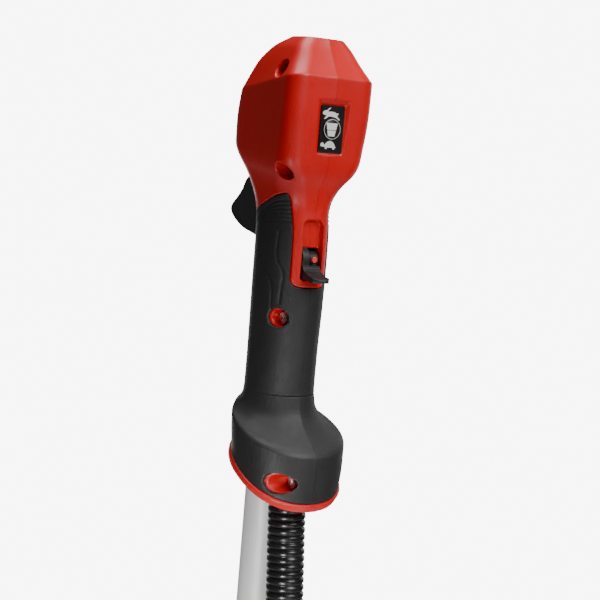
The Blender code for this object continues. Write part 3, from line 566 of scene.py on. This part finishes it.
def halves(obj, name):
    """The left and right halves of a solid, a hair apart at the parting plane."""
    made = []
    for side, word in ((-1, "left"), (1, "right")):
        half = copy_of(obj, f"{name}_{word}")
        shape = bmesh.new()
        shape.from_mesh(half.data)
        bmesh.ops.bisect_plane(
            shape, geom=[*shape.verts, *shape.edges, *shape.faces],
            plane_co=(side * PARTING_GAP * MM, 0, 0), plane_no=(-side, 0, 0), clear_outer=True,
        )
        rim = [e for e in shape.edges if e.is_boundary]
        bmesh.ops.triangle_fill(shape, use_beauty=True, edges=rim)
        shape.to_mesh(half.data)
        shape.free()
        made.append(facing_out(half))
    bpy.data.objects.remove(obj)
    return made


def distance_to_line(y, z, line):
    """The distance from a point to a line of straight lengths."""
    best = 1e9
    point = Vector((y, z))
    for a, b in zip(line, line[1:]):
        a, b = Vector(a), Vector(b)
        t = max(0.0, min(1.0, (point - a).dot(b - a) / (b - a).length_squared))
        best = min(best, (point - a.lerp(b, t)).length)
    return best


def carve_grip(obj):
    """Presses the fine lines into the grip cover's sides, and the arcs at its top."""
    lines = [smooth_outline(line, 2) for line in GRIP_LINES]
    mesh = obj.data
    mesh.update()
    normals = [v.normal.copy() for v in mesh.vertices]
    for vertex, normal in zip(mesh.vertices, normals):
        x, y, z = vertex.co / MM
        h = z - GRIP_Z
        if abs(normal.x) < 0.25 or normal.x * x < 0:
            continue
        depth = 0.0
        if LINES_LOW < h < LINES_HIGH:
            near = min(distance_to_line(y, h, line) for line in lines)
            depth = LINE_DEPTH * math.exp(-((near / LINE_WIDTH) ** 2))
        elif h > LINES_HIGH and y > -31:
            for k in range(ARC_COUNT):
                arc_height = 62.0 - ARC_PITCH * k - (0.016 - 0.0022 * k) * (y + 24) ** 2
                depth = max(depth, ARC_DEPTH * math.exp(-(((h - arc_height) / ARC_WIDTH) ** 2)))
            depth *= min(1.0, max(0.0, (12 - y) / 14))  # the arcs fade out towards the back
        vertex.co -= normal * depth * MM
    mesh.update()
    return obj


def make_handle():
    """The red shell and the soft covers of the grip and the skirt, each in two halves."""
    outer = loft("outer")
    hollow = loft("hollow", inset=SHELL_WALL, stretch=(-4.0, -5.0))
    posts = [rod(f"post_{i}", 7.2, (-60, p.y, p.z), (60, p.y, p.z)) for i, p in enumerate(SHELL_SCREWS)]
    slot_back = block("slot_back", (-10, -40, GRIP_Z + 33.8), (10, -21, GRIP_Z + 56))
    label_back = block("label_back", (-13, -60, GRIP_Z + 88), (13, -34.6, GRIP_Z + 125))
    hollow = cut(hollow, *posts, slot_back, label_back)
    core = loft("core", inset=COVER + COVER_GAP, stretch=BEYOND)
    skirt_recess = cut(loft("skirt_recess", SKIRT_RIM, SKIRT_TOP, inset=OUTSIDE), core, keep=True)
    grip_recess = cut(grip_space(COVER_GAP, "grip_recess"), core, keep=True)
    bpy.data.objects.remove(core)
    cover_core = loft("cover_core", inset=COVER, stretch=BEYOND)

    skirt = boolean(
        copy_of(outer, "skirt_cover"), "INTERSECT",
        loft("skirt_space", SKIRT_RIM, SKIRT_TOP, inset=OUTSIDE, stretch=(-0.1, COVER_GAP)),
    )
    skirt = cut(skirt, cover_core, keep=True)
    skirt = cut(skirt, *wells(COVER_WELL_GAP, COVER_WELL_FLOOR_X), outlet_rod("outlet", COVER_OUTLET_R))
    grip = boolean(copy_of(outer, "grip_cover"), "INTERSECT", grip_space(0, "grip_space"))
    grip = cut(grip, cover_core, keep=True)
    trigger_gap = block("trigger_gap", (-10, 8, GRIP_Z + 33.5), (10, 60, GRIP_Z + 90))
    grip = cut(grip, *wells(COVER_WELL_GAP, COVER_WELL_FLOOR_X), trigger_gap)
    bpy.data.objects.remove(cover_core)
    shell = cut(outer, skirt_recess, grip_recess, hollow, *shell_cutters(), *wells())

    shell = moulded(shell, 0.5, 5)
    skirt = moulded(skirt, 0.5, 7)
    grip = carve_grip(moulded(grip, 0.5, 6))
    for solid, name, paint in (
        (shell, "handle_shell", RED), (skirt, "skirt_cover", RUBBER), (grip, "grip_cover", RUBBER),
    ):
        for piece in halves(solid, "fine_" + name):
            finish(smooth(piece, 60), paint, "pole_handle")


make_handle()


# ---- controls

LEVER_Y, LEVER_Z = middle("lock_lever_pin").y, GRIP_Z + LEVER_ABOVE_GRIP
TRIGGER_Y, TRIGGER_Z = middle("trigger_pin").y, middle("trigger_pin").z
PANEL_Z = middle("speed_button").z
PANEL_FACE_Y, BUTTON_FACE_Y = -39.7, -40.5
PRINT = 0.12  # thickness of the printed marks


def union(obj, *others):
    return boolean(obj, "UNION", *others)


def side_plate(name, half, outline):
    """A plate across X with this (y, z above the grip's middle) outline."""
    side = [(y, GRIP_Z + z) for y, z in outline]
    return outline_stack(name, [(-half, side), (half, side)], "YZ")


def make_lever():
    """The thumb lever: a drum, a cheek and a scooped paddle, with its red mark."""
    drum = rod("fine_lock_lever", 5.2, (-6.5, LEVER_Y, LEVER_Z), (6.5, LEVER_Y, LEVER_Z), 72)
    cheek = rod("cheek", 7.9, (-6.5, LEVER_Y, LEVER_Z), (-1.4, LEVER_Y, LEVER_Z), 72)
    paddle = side_plate("paddle", 6.3, [
        (-24, 24.5), (-30.1, 22.6), (-32.4, 20.0), (-37.7, 17.7), (-42.6, 16.9), (-44.3, 16.3), (-44.8, 15.2),
        (-44.0, 14.2), (-41.5, 13.7), (-33, 14.6), (-24, 15.4), (-19.5, 20),
    ])
    ledge = block("ledge", (-6.3, -30.6, GRIP_Z + 21.6), (6.3, -24, GRIP_Z + 23.2))
    lever = union(drum, cheek, paddle, ledge)
    lever = cut(lever, rod("lever_bore", 1.8, (-20, LEVER_Y, LEVER_Z), (20, LEVER_Y, LEVER_Z), 32))
    tip = block("tip", (-12, -60, GRIP_Z), (12, -37.4, GRIP_Z + 30))
    tip = cut(tip, rod("kept", 7.4, (0, -37.5, GRIP_Z - 5), (0, -37.5, GRIP_Z + 35), 96))
    lever = moulded(cut(lever, tip), 0.3, 4)
    finish(smooth(lever, 60), BLACK, "lock_lever")
    low, high = corners("lock_mark")
    place = middle("lock_mark")
    mark = rod("fine_lock_mark", (high.x - low.x) / 2, (place.x, high.y, place.z), (place.x, low.y, place.z))
    finish(smooth(moulded(mark, 0.2, 4), 60), MARK, "lock_lever")


def make_trigger():
    """The trigger: a plate with a curved front, round its hub."""
    hub = arc((TRIGGER_Y, 84), 5.2, 215, -40, 16)
    front = [
        (28.6, 78.6), (36.2, 74.4), (40.6, 70.8), (43.6, 65.3), (48.8, 59.9), (54.6, 55.0), (56.2, 52.0),
        (54.7, 48.6), (48.9, 44.3), (39.6, 40.2), (30.7, 38.2), (23.2, 36.6),
    ]
    outline = [(12.6, 48), (12.6, 70), *hub, *smooth_outline(front, 1.5), (15.5, 38.5)]
    trigger = side_plate("fine_trigger", 8.2, outline)
    bore = rod("trigger_bore", 2.3, (-20, TRIGGER_Y, TRIGGER_Z), (20, TRIGGER_Y, TRIGGER_Z), 32)
    trigger = moulded(cut(trigger, bore), 0.5, 12)
    finish(smooth(trigger, 60), BLACK, "trigger")


def make_spring():
    """The trigger's return spring, a coil of wire along the length of its CAD box."""
    low, high = corners("trigger_spring")
    turns, wire, steps, sides = 5.5, 0.5, 220, 12
    middle_z, start, end = (low.z + high.z) / 2, low.y + wire, high.y - wire
    coil = (high.x - low.x) / 2 - wire
    along = Vector((0, 1, 0))
    points = []
    for i in range(steps + 1):
        angle = 2 * math.pi * turns * i / steps
        out = Vector((math.cos(angle), 0, math.sin(angle)))
        place = Vector((0, start + (end - start) * i / steps, middle_z)) + coil * out
        for k in range(sides):
            round_wire = 2 * math.pi * k / sides
            points.append(place + wire * (math.cos(round_wire) * out + math.sin(round_wire) * along))
    spring = smooth(tube("fine_trigger_spring", points, sides), 60)
    finish(spring, STEEL, "pole_handle")
    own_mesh(spring)


# The panel's marks, drawn as (x, height) outlines.
HARE = (
    (-8.5, 5.6), (-7.9, 7.2), (-6.6, 8.1), (-5.2, 8.3), (-3.4, 9.9), (-1.9, 10.4), (-2.9, 9.2), (-4.3, 7.9),
    (-3.2, 7.4), (-1.2, 7.6), (1.2, 7.4), (2.8, 6.5), (3.9, 6.9), (4.1, 6.0), (3.1, 5.3), (3.5, 4.2),
    (4.9, 3.2), (5.5, 2.2), (4.6, 2.0), (3.3, 3.0), (1.9, 3.6), (0.6, 3.9), (-1.6, 4.3), (-3.6, 4.1),
    (-5.2, 2.7), (-6.6, 2.1), (-7.1, 2.6), (-5.9, 3.6), (-5.4, 4.9), (-6.9, 5.1),
)
TORTOISE = (
    (-7.7, 1.6), (-7.2, 2.9), (-6.1, 3.3), (-5.2, 2.6), (-4.6, 1.7), (-3.9, 2.9), (-2.4, 4.1), (-0.6, 4.6),
    (1.2, 4.0), (2.5, 2.7), (3.1, 1.4), (3.8, 0.7), (2.9, 0.6), (2.7, -0.4), (1.5, -0.4), (1.3, 0.5),
    (-2.6, 0.5), (-2.8, -0.4), (-4.0, -0.4), (-4.2, 0.6), (-5.4, 0.9), (-6.6, 0.8),
)
HARE_WIDTH, HARE_HEIGHT = 0.92, 0.86  # shares of the outline's own size
HARE_Z, TORTOISE_Z = 110.6, 95.2


def printed(name, outline, face, node, body):
    """A thin printed mark on a face that looks towards -Y."""
    mark = outline_stack(name, [(face - PRINT, outline), (face - 0.01, outline)])
    finish(mark, WHITE, body, node)


def face_front(obj, x, y, z):
    """Turns a shape made about the vertical axis to look towards -Y, and moves it to this place."""
    obj.data.transform(Matrix.Rotation(math.pi / 2, 4, "X"))
    obj.data.transform(Matrix.Translation((x * MM, y * MM, z * MM)))


def make_panel():
    """The speed panel with its printed animals, and the button with its ring and split wedge."""
    outline = rounded_box(8.6, PANEL_Z - 14.1, PANEL_Z + 14.1, 0.8, 0.8)
    inner = rounded_box(8.3, PANEL_Z - 13.8, PANEL_Z + 13.8, 0.6, 0.6)
    layers = [(PANEL_FACE_Y, inner), (PANEL_FACE_Y + 0.3, outline), (PANEL_FACE_Y + 1.2, outline)]
    panel = outline_stack("fine_speed_panel", layers)
    panel = cut(panel, rod("panel_hole", 6.85, (0, -60, PANEL_Z), (0, -20, PANEL_Z), 96))
    finish(smooth(panel, 30), PANEL, "pole_handle")
    hare = [(x * HARE_WIDTH, GRIP_Z + HARE_Z + z * HARE_HEIGHT) for x, z in HARE]
    tortoise = [(x, GRIP_Z + TORTOISE_Z + z) for x, z in TORTOISE]
    printed("print_hare", hare, PANEL_FACE_Y, "speed_panel", "pole_handle")
    printed("print_tortoise", tortoise, PANEL_FACE_Y, "speed_panel", "pole_handle")
    rise = 0.85
    profile = [(0, rise), (6.0, rise), (6.35, 0.7), (6.5, 0.35), (6.5, -0.3), (0, -0.3)]
    button = turned("fine_speed_button", profile)
    face_front(button, 0, BUTTON_FACE_Y + rise, PANEL_Z)
    button = union(button, rod("stem", 2.4, (0, BUTTON_FACE_Y + 1, PANEL_Z), (0, -33.6, PANEL_Z), 48))
    finish(smooth(button, 30), PANEL, "speed_button")
    ring = turned("print_ring", [(6.0, PRINT), (6.0, 0), (5.75, 0), (5.75, PRINT)], ring=True)
    face_front(ring, -0.4, BUTTON_FACE_Y - 0.01, PANEL_Z)
    finish(ring, WHITE, "speed_button", "speed_button")
    for name, low, low_half, high, high_half in (
        ("top", -0.4, 3.2, 3.6, 4.05), ("bottom", -4.2, 2.3, -0.8, 3.05),
    ):
        outline = [(-low_half, low), (low_half, low), (high_half, high), (-high_half, high)]
        wedge = [(x - 0.8, PANEL_Z + z) for x, z in outline]
        printed(f"print_wedge_{name}", wedge, BUTTON_FACE_Y, "speed_button", "speed_button")


def make_inlet():
    """The CAD inlet with every edge rounded."""
    inlet = baked(copy_of(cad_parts["power_inlet"], "fine_power_inlet"))
    finish(smooth(moulded(inlet, 0.4, 3), 60), BLACK, "pole_handle")


make_lever()
make_trigger()
make_spring()
make_panel()
make_inlet()


# ---- pole and hose

HOSE_ROUTE = (
    (0, HOSE_TOP_Y, 1157.1), (0, HOSE_TOP_Y, 1148), (0, -27.4, 1130), (0, -31.6, 1088), (0, -34.5, 1045),
    (0, -32, 1000), (0, -29, 965), (0, -30, 900), (0, -33.5, 815), (0, -31.5, 730), (0, -29, 665),
    (0, -31, 600), (0, -33.5, 515), (0, -31, 430), (0, -29, 365), (0, -31, 320), (0, -35.5, 275),
    (0, -38, 250), (0, -38, 237),
)
HOSE_PITCH, HOSE_GROOVE = 4.48, 1.25
CLIP_Y = -29.0


def sweep(name, route, radii, sides=48):
    """A solid round a route that lies in the plane x = 0, with its radius at each point."""
    across = Vector((1, 0, 0))
    points = []
    for i, (place, radius) in enumerate(zip(route, radii)):
        along = (route[min(i + 1, len(route) - 1)] - route[max(i - 1, 0)]).normalized()
        up = along.cross(across).normalized()
        for k in range(sides):
            angle = 2 * math.pi * k / sides
            points.append(place + radius * (math.cos(angle) * across + math.sin(angle) * up))
    return tube(name, points, sides)


def ribbed(name, route, radius, pitch, groove):
    """A ribbed hose: round ribs with narrow grooves between them."""
    way, radii = 0.0, []
    for i, place in enumerate(route):
        way += (place - route[i - 1]).length if i else 0.0
        wave = 0.5 - 0.5 * math.cos(2 * math.pi * way / pitch)
        radii.append(radius - groove * (1 - wave) ** 4)
    return sweep(name, route, radii)


def make_pole():
    """The pole's tube with eased ends, and the ribbed hose beside it."""
    low, high, wall = POLE_LOW, POLE_HIGH, 1.6
    inner = POLE_R - wall
    profile = [
        (inner + 0.3, high), (POLE_R - 0.5, high), (POLE_R, high - 0.5), (POLE_R, low + 0.5),
        (POLE_R - 0.5, low), (inner + 0.3, low), (inner, low + 0.3), (inner, high - 0.3),
    ]
    pole = turned("fine_pole_tube", profile, 128, ring=True)
    finish(smooth(pole), POLE, "pole_handle")
    hose = ribbed("fine_dust_hose", smooth_route(HOSE_ROUTE, HOSE_PITCH / 7), HOSE_R, HOSE_PITCH, HOSE_GROOVE)
    finish(smooth(hose, 80), HOSE, "pole_handle")


def make_clips():
    """The three clips, each with an eye for the pole and one for the hose."""
    for i in range(1, 4):
        height = middle(f"hose_clip_{i}").z
        low, high = height - 6.9, height + 6.9
        clip = union(
            upright(f"fine_hose_clip_{i}", POLE_R + 3, low, high),
            upright("hose_eye", HOSE_R + 3.1, low, high, CLIP_Y),
            block("web", (-7.4, CLIP_Y, low), (7.4, 0, high)),
            upright("rib", POLE_R + 3.7, height - 1.2, height + 1.2),
        )
        clip = cut(
            clip, upright("pole_eye", POLE_R + 0.5, low - 5, high + 5),
            upright("hose_hole", HOSE_R + 1.2, low - 5, high + 5, CLIP_Y),
        )
        finish(smooth(moulded(clip, 0.6, 5), 60), BLACK, "pole_handle")


make_pole()
make_clips()


# ---- fork, gimbal and flexible hose

CUFF_Y = -38.0
FORK_INNER, FORK_OUTER = 60.0, 68.0
BELLOWS_R, BELLOWS_PITCH, BELLOWS_GROOVE = 13.0, 6.0, 2.2
BELLOWS_ROUTE = (
    (0, -38, 193.6), (0, -38, 184), (0, -42, 162), (0, -51, 140), (0, -64, 118), (0, -79, 96), (0, -88, 74),
    (0, -88, 62.4),
)
BELLOWS_SPLIT_Z = 118


def pivot_rods(name, radius, inner, outer, axis, sides=48):
    """A rod on each side of the pivot, along the level axis 0 for X or 1 for Y."""
    made = []
    for s in (-1, 1):
        ends = [(s * reach * (1 - axis), s * reach * axis, PIVOT_Z) for reach in (inner, outer)]
        made.append(rod(f"{name}_{s}", radius, *ends, sides))
    return made


def make_fork():
    """The fork: an arch, the pole's socket, the cuff's arm and an eye at each side of the pivot."""
    outer = [(FORK_OUTER, 71), (FORK_OUTER, 148), (FORK_OUTER - 9, 160), (42, 168), (22, 178), (0, 178)]
    inner = [(FORK_INNER, 71), (FORK_INNER, 130), (54, 141), (40, 150), (0, 150)]
    outer, inner = smooth_outline(outer, 3), smooth_outline(inner, 3)
    arch = outer + [(-x, z) for x, z in outer[-2::-1]] + [(-x, z) for x, z in inner] + inner[-2::-1]
    fork = outline_stack("fine_fork", [(-12, arch), (12, arch)])
    arm = [(y, z - GRIP_Z) for y, z in ((-46, 197), (-6, 186), (-6, 221), (-46, 221))]
    fork = union(
        fork, upright("socket", POLE_R + 5.5, 158, 221.5), upright("collar", POLE_R + 6.6, 214, 221.5),
        side_plate("cuff_arm", 6, arm), *pivot_rods("eye", 12.5, FORK_INNER, FORK_OUTER, 0, 96),
    )
    fork = cut(
        fork, upright("pole_seat", POLE_R + 0.3, POLE_LOW - 0.3, 260),
        upright("cuff_seat", HOSE_R + 3.4, 180, 250, CUFF_Y),
        rod("cable_way", 5, (0, 0, 140), (0, 0, 170)),
        rod("pin_way", 5.3, (-80, 0, PIVOT_Z), (80, 0, PIVOT_Z)),
        rod("bolt_way", 3.3, (0, 10, 208), (0, 40, 208)),
    )
    finish(smooth(moulded(fork, 0.8, 6), 60), BLACK, "pole_handle")


def make_cuff():
    """The grooved cuff between the hose and its flexible end."""
    cuff_r = HOSE_R + 3.1
    profile = [(HOSE_R + 0.7, 237.6), (cuff_r - 0.6, 238), (cuff_r, 237.2)]
    for k in range(4):
        z = 233.6 - 3 * k
        profile += [(cuff_r, z), (cuff_r - 0.7, z - 0.4), (cuff_r - 0.7, z - 1.2), (cuff_r, z - 1.6)]
    profile += [(cuff_r, 194.8), (cuff_r - 0.6, 194), (10.4, 194), (10, 194.6), (10, 226)]
    profile.append((HOSE_R + 0.7, 226))
    cuff = turned("fine_hose_cuff", profile, 96, ring=True, centre=(0, CUFF_Y))
    finish(smooth(cuff), BLACK, "pole_handle")


def make_gimbal():
    """The gimbal's ring, with a boss at each of its four pins."""
    low, high = PIVOT_Z - 7, PIVOT_Z + 7
    ring = turned("fine_gimbal_ring", [(56, high), (56, low), (50, low), (50, high)], 160, ring=True)
    for axis in (0, 1):
        ring = union(ring, *pivot_rods("boss", 10, 49.9, 56.3, axis, 72))
    ring = cut(
        ring, rod("bore_x", 4.3, (-80, 0, PIVOT_Z), (80, 0, PIVOT_Z)),
        rod("bore_y", 4.3, (0, -80, PIVOT_Z), (0, 80, PIVOT_Z)),
    )
    finish(smooth(moulded(ring, 0.7, 5), 60), ALLOY, "gimbal")


def make_bellows():
    """The hose's flexible end, in two ribbed lengths split at one height."""
    whole = smooth_route(BELLOWS_ROUTE, BELLOWS_PITCH / 8)
    split = min(range(len(whole)), key=lambda i: abs(whole[i].z - BELLOWS_SPLIT_Z))
    for name, route in (("upper", whole[:split]), ("lower", whole[split + 1:])):
        piece = ribbed(f"fine_hose_bellows_{name}", route, BELLOWS_R, BELLOWS_PITCH, BELLOWS_GROOVE)
        piece.data.materials.append(HOSE)
        smooth(piece, 80)
        if name == "upper":
            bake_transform(piece)
        else:
            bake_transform(piece)
        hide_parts(f"hose_bellows_{name}")


make_fork()
make_cuff()
make_gimbal()
make_bellows()


# ---- sanding head

PORT_Y, PORT_TOP = -88.0, 62.0
DISC_R, HOLE_RING_R = 112.5, 78.0


def spokes(name, count, inner, outer, half, low, high, turn=0.0):
    """Radial bars about the vertical axis."""
    made = []
    for k in range(count):
        bar = block(f"{name}_{k}", (inner, -half, low), (outer, half, high))
        bar.data.transform(Matrix.Rotation(2 * math.pi * k / count + turn, 4, "Z"))
        made.append(bar)
    return made


def make_motor():
    """The motor's ribbed housing and its red cap."""
    wall = 41.9
    profile = [(38.5, 97.6), (39, 98), (wall - 0.5, 98), (wall, 97.5)]
    for k in range(6):
        z = 94.5 - 1.9 * k
        if z - 1.2 > PIVOT_Z + 1:
            profile += [(wall, z), (wall - 0.8, z - 0.3), (wall - 0.8, z - 0.9), (wall, z - 1.2)]
    profile += [
        (wall, 46), (42.6, 43), (45, 41), (53.4, 40.6), (54, 40), (54, 37.1), (53.5, 36.6), (13.4, 36.6),
        (13.4, 48), (20, 48), (20, 44.5), (38.5, 44.5),
    ]
    housing = turned("fine_motor_housing", profile, 128, ring=True)
    housing = union(housing, *pivot_rods("boss", 9, 40, 46.5, 1, 72))
    vents = spokes("vent", 16, 36, 60, 1.6, 52, 66, math.pi / 16)
    housing = cut(housing, *pivot_rods("seat", 4.3, 39.6, 60, 1), *vents)
    finish(smooth(housing, 30), BLACK, "sanding_head")
    cap = turned("fine_motor_cap", [
        (0, 117), (19, 117), (22, 116.6), (33, 113.4), (35.4, 112), (41.2, 105), (wall, 103), (wall, 98.3),
        (38.2, 98.3), (38.2, 103), (32, 109), (18, 111), (18, 97.5), (13.4, 97.5), (13.4, 108), (0, 108),
    ], 128)
    cap = cut(cap, *spokes("slit", 12, 24, 37, 1.3, 100, 130), upright("dimple", 9, 116.2, 130))
    finish(smooth(cap, 30), RED, "sanding_head")


def make_shroud():
    """The hood with its ribs and the port for the hose."""
    hood = turned("fine_dust_shroud", [
        (50, 36.2), (70, 36), (86, 34.2), (104, 31), (112, 28.9), (118, 26), (121.4, 22.4), (122.8, 18),
        (123, 12.4), (122.6, 12), (120.4, 12), (120.4, 17), (116, 23), (103, 28), (70, 33), (30, 33),
        (30, 36.2),
    ], 160, ring=True)
    rib_count, port_place, half = 12, 9, 1.1
    outline = [(56, 30), (56, 37.4), (74, 37.2), (104, 32.4), (114, 29), (114, 26)]
    ribs = []
    for k in range(rib_count):
        if k == port_place:
            continue
        rib = outline_stack(f"rib_{k}", [(-half, outline), (half, outline)])
        rib.data.transform(Matrix.Rotation(2 * math.pi * k / rib_count, 4, "Z"))
        ribs.append(rib)
    port = upright("port", 15, 27, PORT_TOP, PORT_Y)
    lip = upright("lip", 15.9, PORT_TOP - 5, PORT_TOP - 0.6, PORT_Y)
    hood = union(hood, *ribs, port, lip)
    under = turned("under", [(0, 20), (115, 20), (115.6, 22.6), (103, 27.8), (70, 32.8), (0, 32.8)], 160)
    hood = cut(hood, under, upright("port_bore", 12.6, 16, PORT_TOP + 8, PORT_Y))
    finish(smooth(hood, 30), BLACK, "sanding_head")


def make_brush():
    """Two rows of leaning tufts in a band under the shroud's rim."""
    brush = bmesh.new()
    count, rows = 260, 2
    for k in range(count):
        for row in range(rows):
            angle = 2 * math.pi * (k + 0.5 * row) / count
            lean = math.radians(5 * math.sin(k * 12.9898 + row * 78.233))
            made = bmesh.ops.create_cone(
                brush, cap_ends=True, segments=6, radius1=0.95 * MM, radius2=1.15 * MM, depth=11.2 * MM)
            place = Matrix.Translation(((118.7 + 1.6 * row) * MM, 0, 6.1 * MM))
            move = Matrix.Rotation(angle, 4, "Z") @ place @ Matrix.Rotation(lean, 4, "X")
            bmesh.ops.transform(brush, matrix=move, verts=made["verts"])
    tufts = from_bmesh("fine_brush_tufts", brush)
    finish(tufts, BRISTLE, "sanding_head", "brush_ring")
    band = turned("fine_brush_band", [(120, 16.4), (120.1, 10), (117.6, 10), (117.5, 16.4)], 160, ring=True)
    finish(smooth(band, 30), BRISTLE, "sanding_head", "brush_ring")


def make_disc():
    """The backing plate, the hook pad and the abrasive disc, with eight dust holes."""
    holes = arc((0, 0), HOLE_RING_R, 22.5, 337.5, 7)

    def drilled(obj, radius, paint):
        drills = [rod(f"hole_{i}", radius, (x, y, -5), (x, y, 30), 40) for i, (x, y) in enumerate(holes)]
        finish(smooth(cut(obj, *drills), 30), paint, "disc")

    plate = turned("fine_backing_plate", [
        (0, 22), (23.2, 22), (24, 21.2), (24, 17.4), (60, 15.8), (DISC_R - 7, 14.2), (DISC_R - 5, 12.6),
        (DISC_R - 4, 10.6), (4, 10.6), (4, 14), (0, 14),
    ], 160)
    drilled(plate, 7, BLACK)
    pad = turned("fine_hook_pad", [
        (DISC_R - 0.6, 10.3), (DISC_R, 9.6), (DISC_R, 2.9), (DISC_R - 0.6, 2.2), (11, 2.2), (11, 10.3),
    ], 160, ring=True)
    drilled(pad, 7, FOAM)
    paper = turned("fine_abrasive_disc", [
        (DISC_R - 0.2, 1.9), (DISC_R, 1.6), (DISC_R, 0.2), (DISC_R - 0.2, 0), (11, 0), (11, 1.9),
    ], 160, ring=True)
    drilled(paper, 6, GRIT)


make_motor()
make_shroud()
make_brush()
make_disc()


# ---- dust outlet

OUTLET_REACH, ELBOW_R = 40.0, 14.5


def make_outlet():
    """The elbow from the top of the hose to the mouth in the skirt's side. It is bent in the plane x = 0 and
    then turned."""
    bend = arc((ELBOW_R, -ELBOW_R), ELBOW_R, 180, 90, 16)
    flat = [(0, GRIP_Z - 117.5), *[(y, OUTLET_Z + z) for y, z in bend], (OUTLET_REACH, OUTLET_Z)]

    def pipe(name, radius, grow):
        route = [Vector((0, a, b)) for a, b in flat]
        route[0].z -= grow
        route[-1].y += grow
        made = sweep(name, route, [radius] * len(route), 72)
        made.data.transform(Matrix.Rotation(OUTLET_TURN - math.pi / 2, 4, "Z"))
        made.data.transform(Matrix.Translation((0, HOSE_TOP_Y * MM, 0)))
        return made

    end = OUTLET_START + OUTLET_REACH * OUTLET_WAY
    lip = rod("lip", 11.6, end - 3 * OUTLET_WAY, end - 0.6 * OUTLET_WAY, 96)
    outlet = union(pipe("fine_dust_outlet", 10.9, 0), lip)
    outlet = cut(outlet, pipe("outlet_bore", 9.2, 5))
    finish(smooth(outlet, 30), BLACK, "pole_handle")


make_outlet()


# ---- carried-over CAD pieces

CAD_PAINTS = {
    "control_board": BOARD, "tact_switch": BLACK, "trigger_switch": BLACK, "power_cable": RUBBER,
    "stator": COPPER,
}
for node_name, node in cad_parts.items():
    node.data.materials.clear()
    node.data.materials.append(CAD_PAINTS.get(node_name, STEEL))


# ---- camera, floor and light

AZIMUTH, ELEVATION, ROLL = math.radians(34.5), math.radians(6.0), math.radians(4.8)
DISTANCE, SIDE_SHIFT, AIM_Y = 890.0, 7.15, -8.5
FOCAL, SENSOR = 85.5, 36.0
AMBIENT, BACKDROP = 0.09, 8.0  # strength of the world's light, and of the white that the camera sees


def make_camera():
    """A camera at the handle's front left, rolled as the photograph's was."""
    right = Vector((math.cos(AZIMUTH), -math.sin(AZIMUTH), 0))
    level = math.cos(ELEVATION)
    back = Vector((-math.sin(AZIMUTH) * level, -math.cos(AZIMUTH) * level, math.sin(ELEVATION)))
    up = back.cross(right)
    aim = Vector((0, AIM_Y, GRIP_Z)) + SIDE_SHIFT * right
    tilted_right = right * math.cos(ROLL) + up * math.sin(ROLL)
    tilted_up = -right * math.sin(ROLL) + up * math.cos(ROLL)
    data = bpy.data.cameras.new("camera")
    data.lens = FOCAL
    data.sensor_width = SENSOR
    camera = link("camera", data)
    camera.matrix_world = Matrix((
        (tilted_right.x, tilted_up.x, back.x, 0), (tilted_right.y, tilted_up.y, back.y, 0),
        (tilted_right.z, tilted_up.z, back.z, 0), (0, 0, 0, 1),
    ))
    camera.location = (aim + DISTANCE * back) * MM
    bpy.context.scene.camera = camera


def area_light(name, place, aim, size, power, spread=180):
    """A rectangular light, in metres, watts and degrees."""
    data = bpy.data.lights.new(name, "AREA")
    data.shape = "RECTANGLE"
    data.size, data.size_y = size
    data.energy = power
    data.spread = math.radians(spread)
    light = link(name, data)
    light.location = place
    light.rotation_euler = (Vector(aim) - Vector(place)).to_track_quat("-Z", "Y").to_euler()


def make_floor():
    floor = rod("floor", 1900, (0, 0, -12), (0, 0, -0.5), 96)
    made, tree, shader = plain_material("pale_floor", (0.8, 0.8, 0.8), 0.6)
    tint = ramp(tree, noise(tree, 3.0, 3.0), (0.3, (0.78, 0.78, 0.78)), (0.7, (0.83, 0.83, 0.83)))
    tree.links.new(tint, shader.inputs["Base Color"])
    floor.data.materials.append(made)


def make_world():
    """Dim light from all round, with a near-white backdrop for the camera's own rays."""
    world = bpy.data.worlds.new("studio")
    bpy.context.scene.world = world
    world.use_nodes = True
    tree = world.node_tree
    background = tree.nodes["Background"]
    seen = tree.nodes.new("ShaderNodeBackground")
    mix, path = tree.nodes.new("ShaderNodeMixShader"), tree.nodes.new("ShaderNodeLightPath")
    background.inputs["Color"].default_value = (1, 1, 1, 1)
    background.inputs["Strength"].default_value = AMBIENT
    seen.inputs["Color"].default_value = (1, 1, 1, 1)
    seen.inputs["Strength"].default_value = BACKDROP
    tree.links.new(path.outputs["Is Camera Ray"], mix.inputs["Fac"])
    tree.links.new(background.outputs["Background"], mix.inputs[1])
    tree.links.new(seen.outputs["Background"], mix.inputs[2])
    tree.links.new(mix.outputs["Shader"], tree.nodes["World Output"].inputs["Surface"])


def make_lights():
    grip = GRIP_Z * MM
    area_light("overhead", (0.05, 0.05, grip + 1.2), (0, 0, grip), (0.8, 0.8), 17)
    area_light("front_top", (0.25, -1.15, grip + 0.9), (0, 0, grip + 0.05), (0.8, 0.8), 19)
    area_light("low_front", (-0.1, -1.5, grip - 0.7), (0, 0, grip - 0.05), (0.6, 0.6), 3)
    area_light("side", (1.4, 0.5, grip + 0.2), (0, 0, grip), (0.5, 1.4), 3)
    area_light("pole_fill", (-0.4, -0.4, grip - 0.4), (0, 0, grip - 0.22), (0.15, 0.3), 0.4, 50)
    area_light("head", (0.6, -0.9, 0.4), (0, 0, 0.05), (0.5, 0.5), 4, 80)
    area_light("back", (0.6, 1.7, 0.8), (0, 0, 0.7), (0.8, 1.2), 9)


make_camera()
make_floor()
make_world()
make_lights()
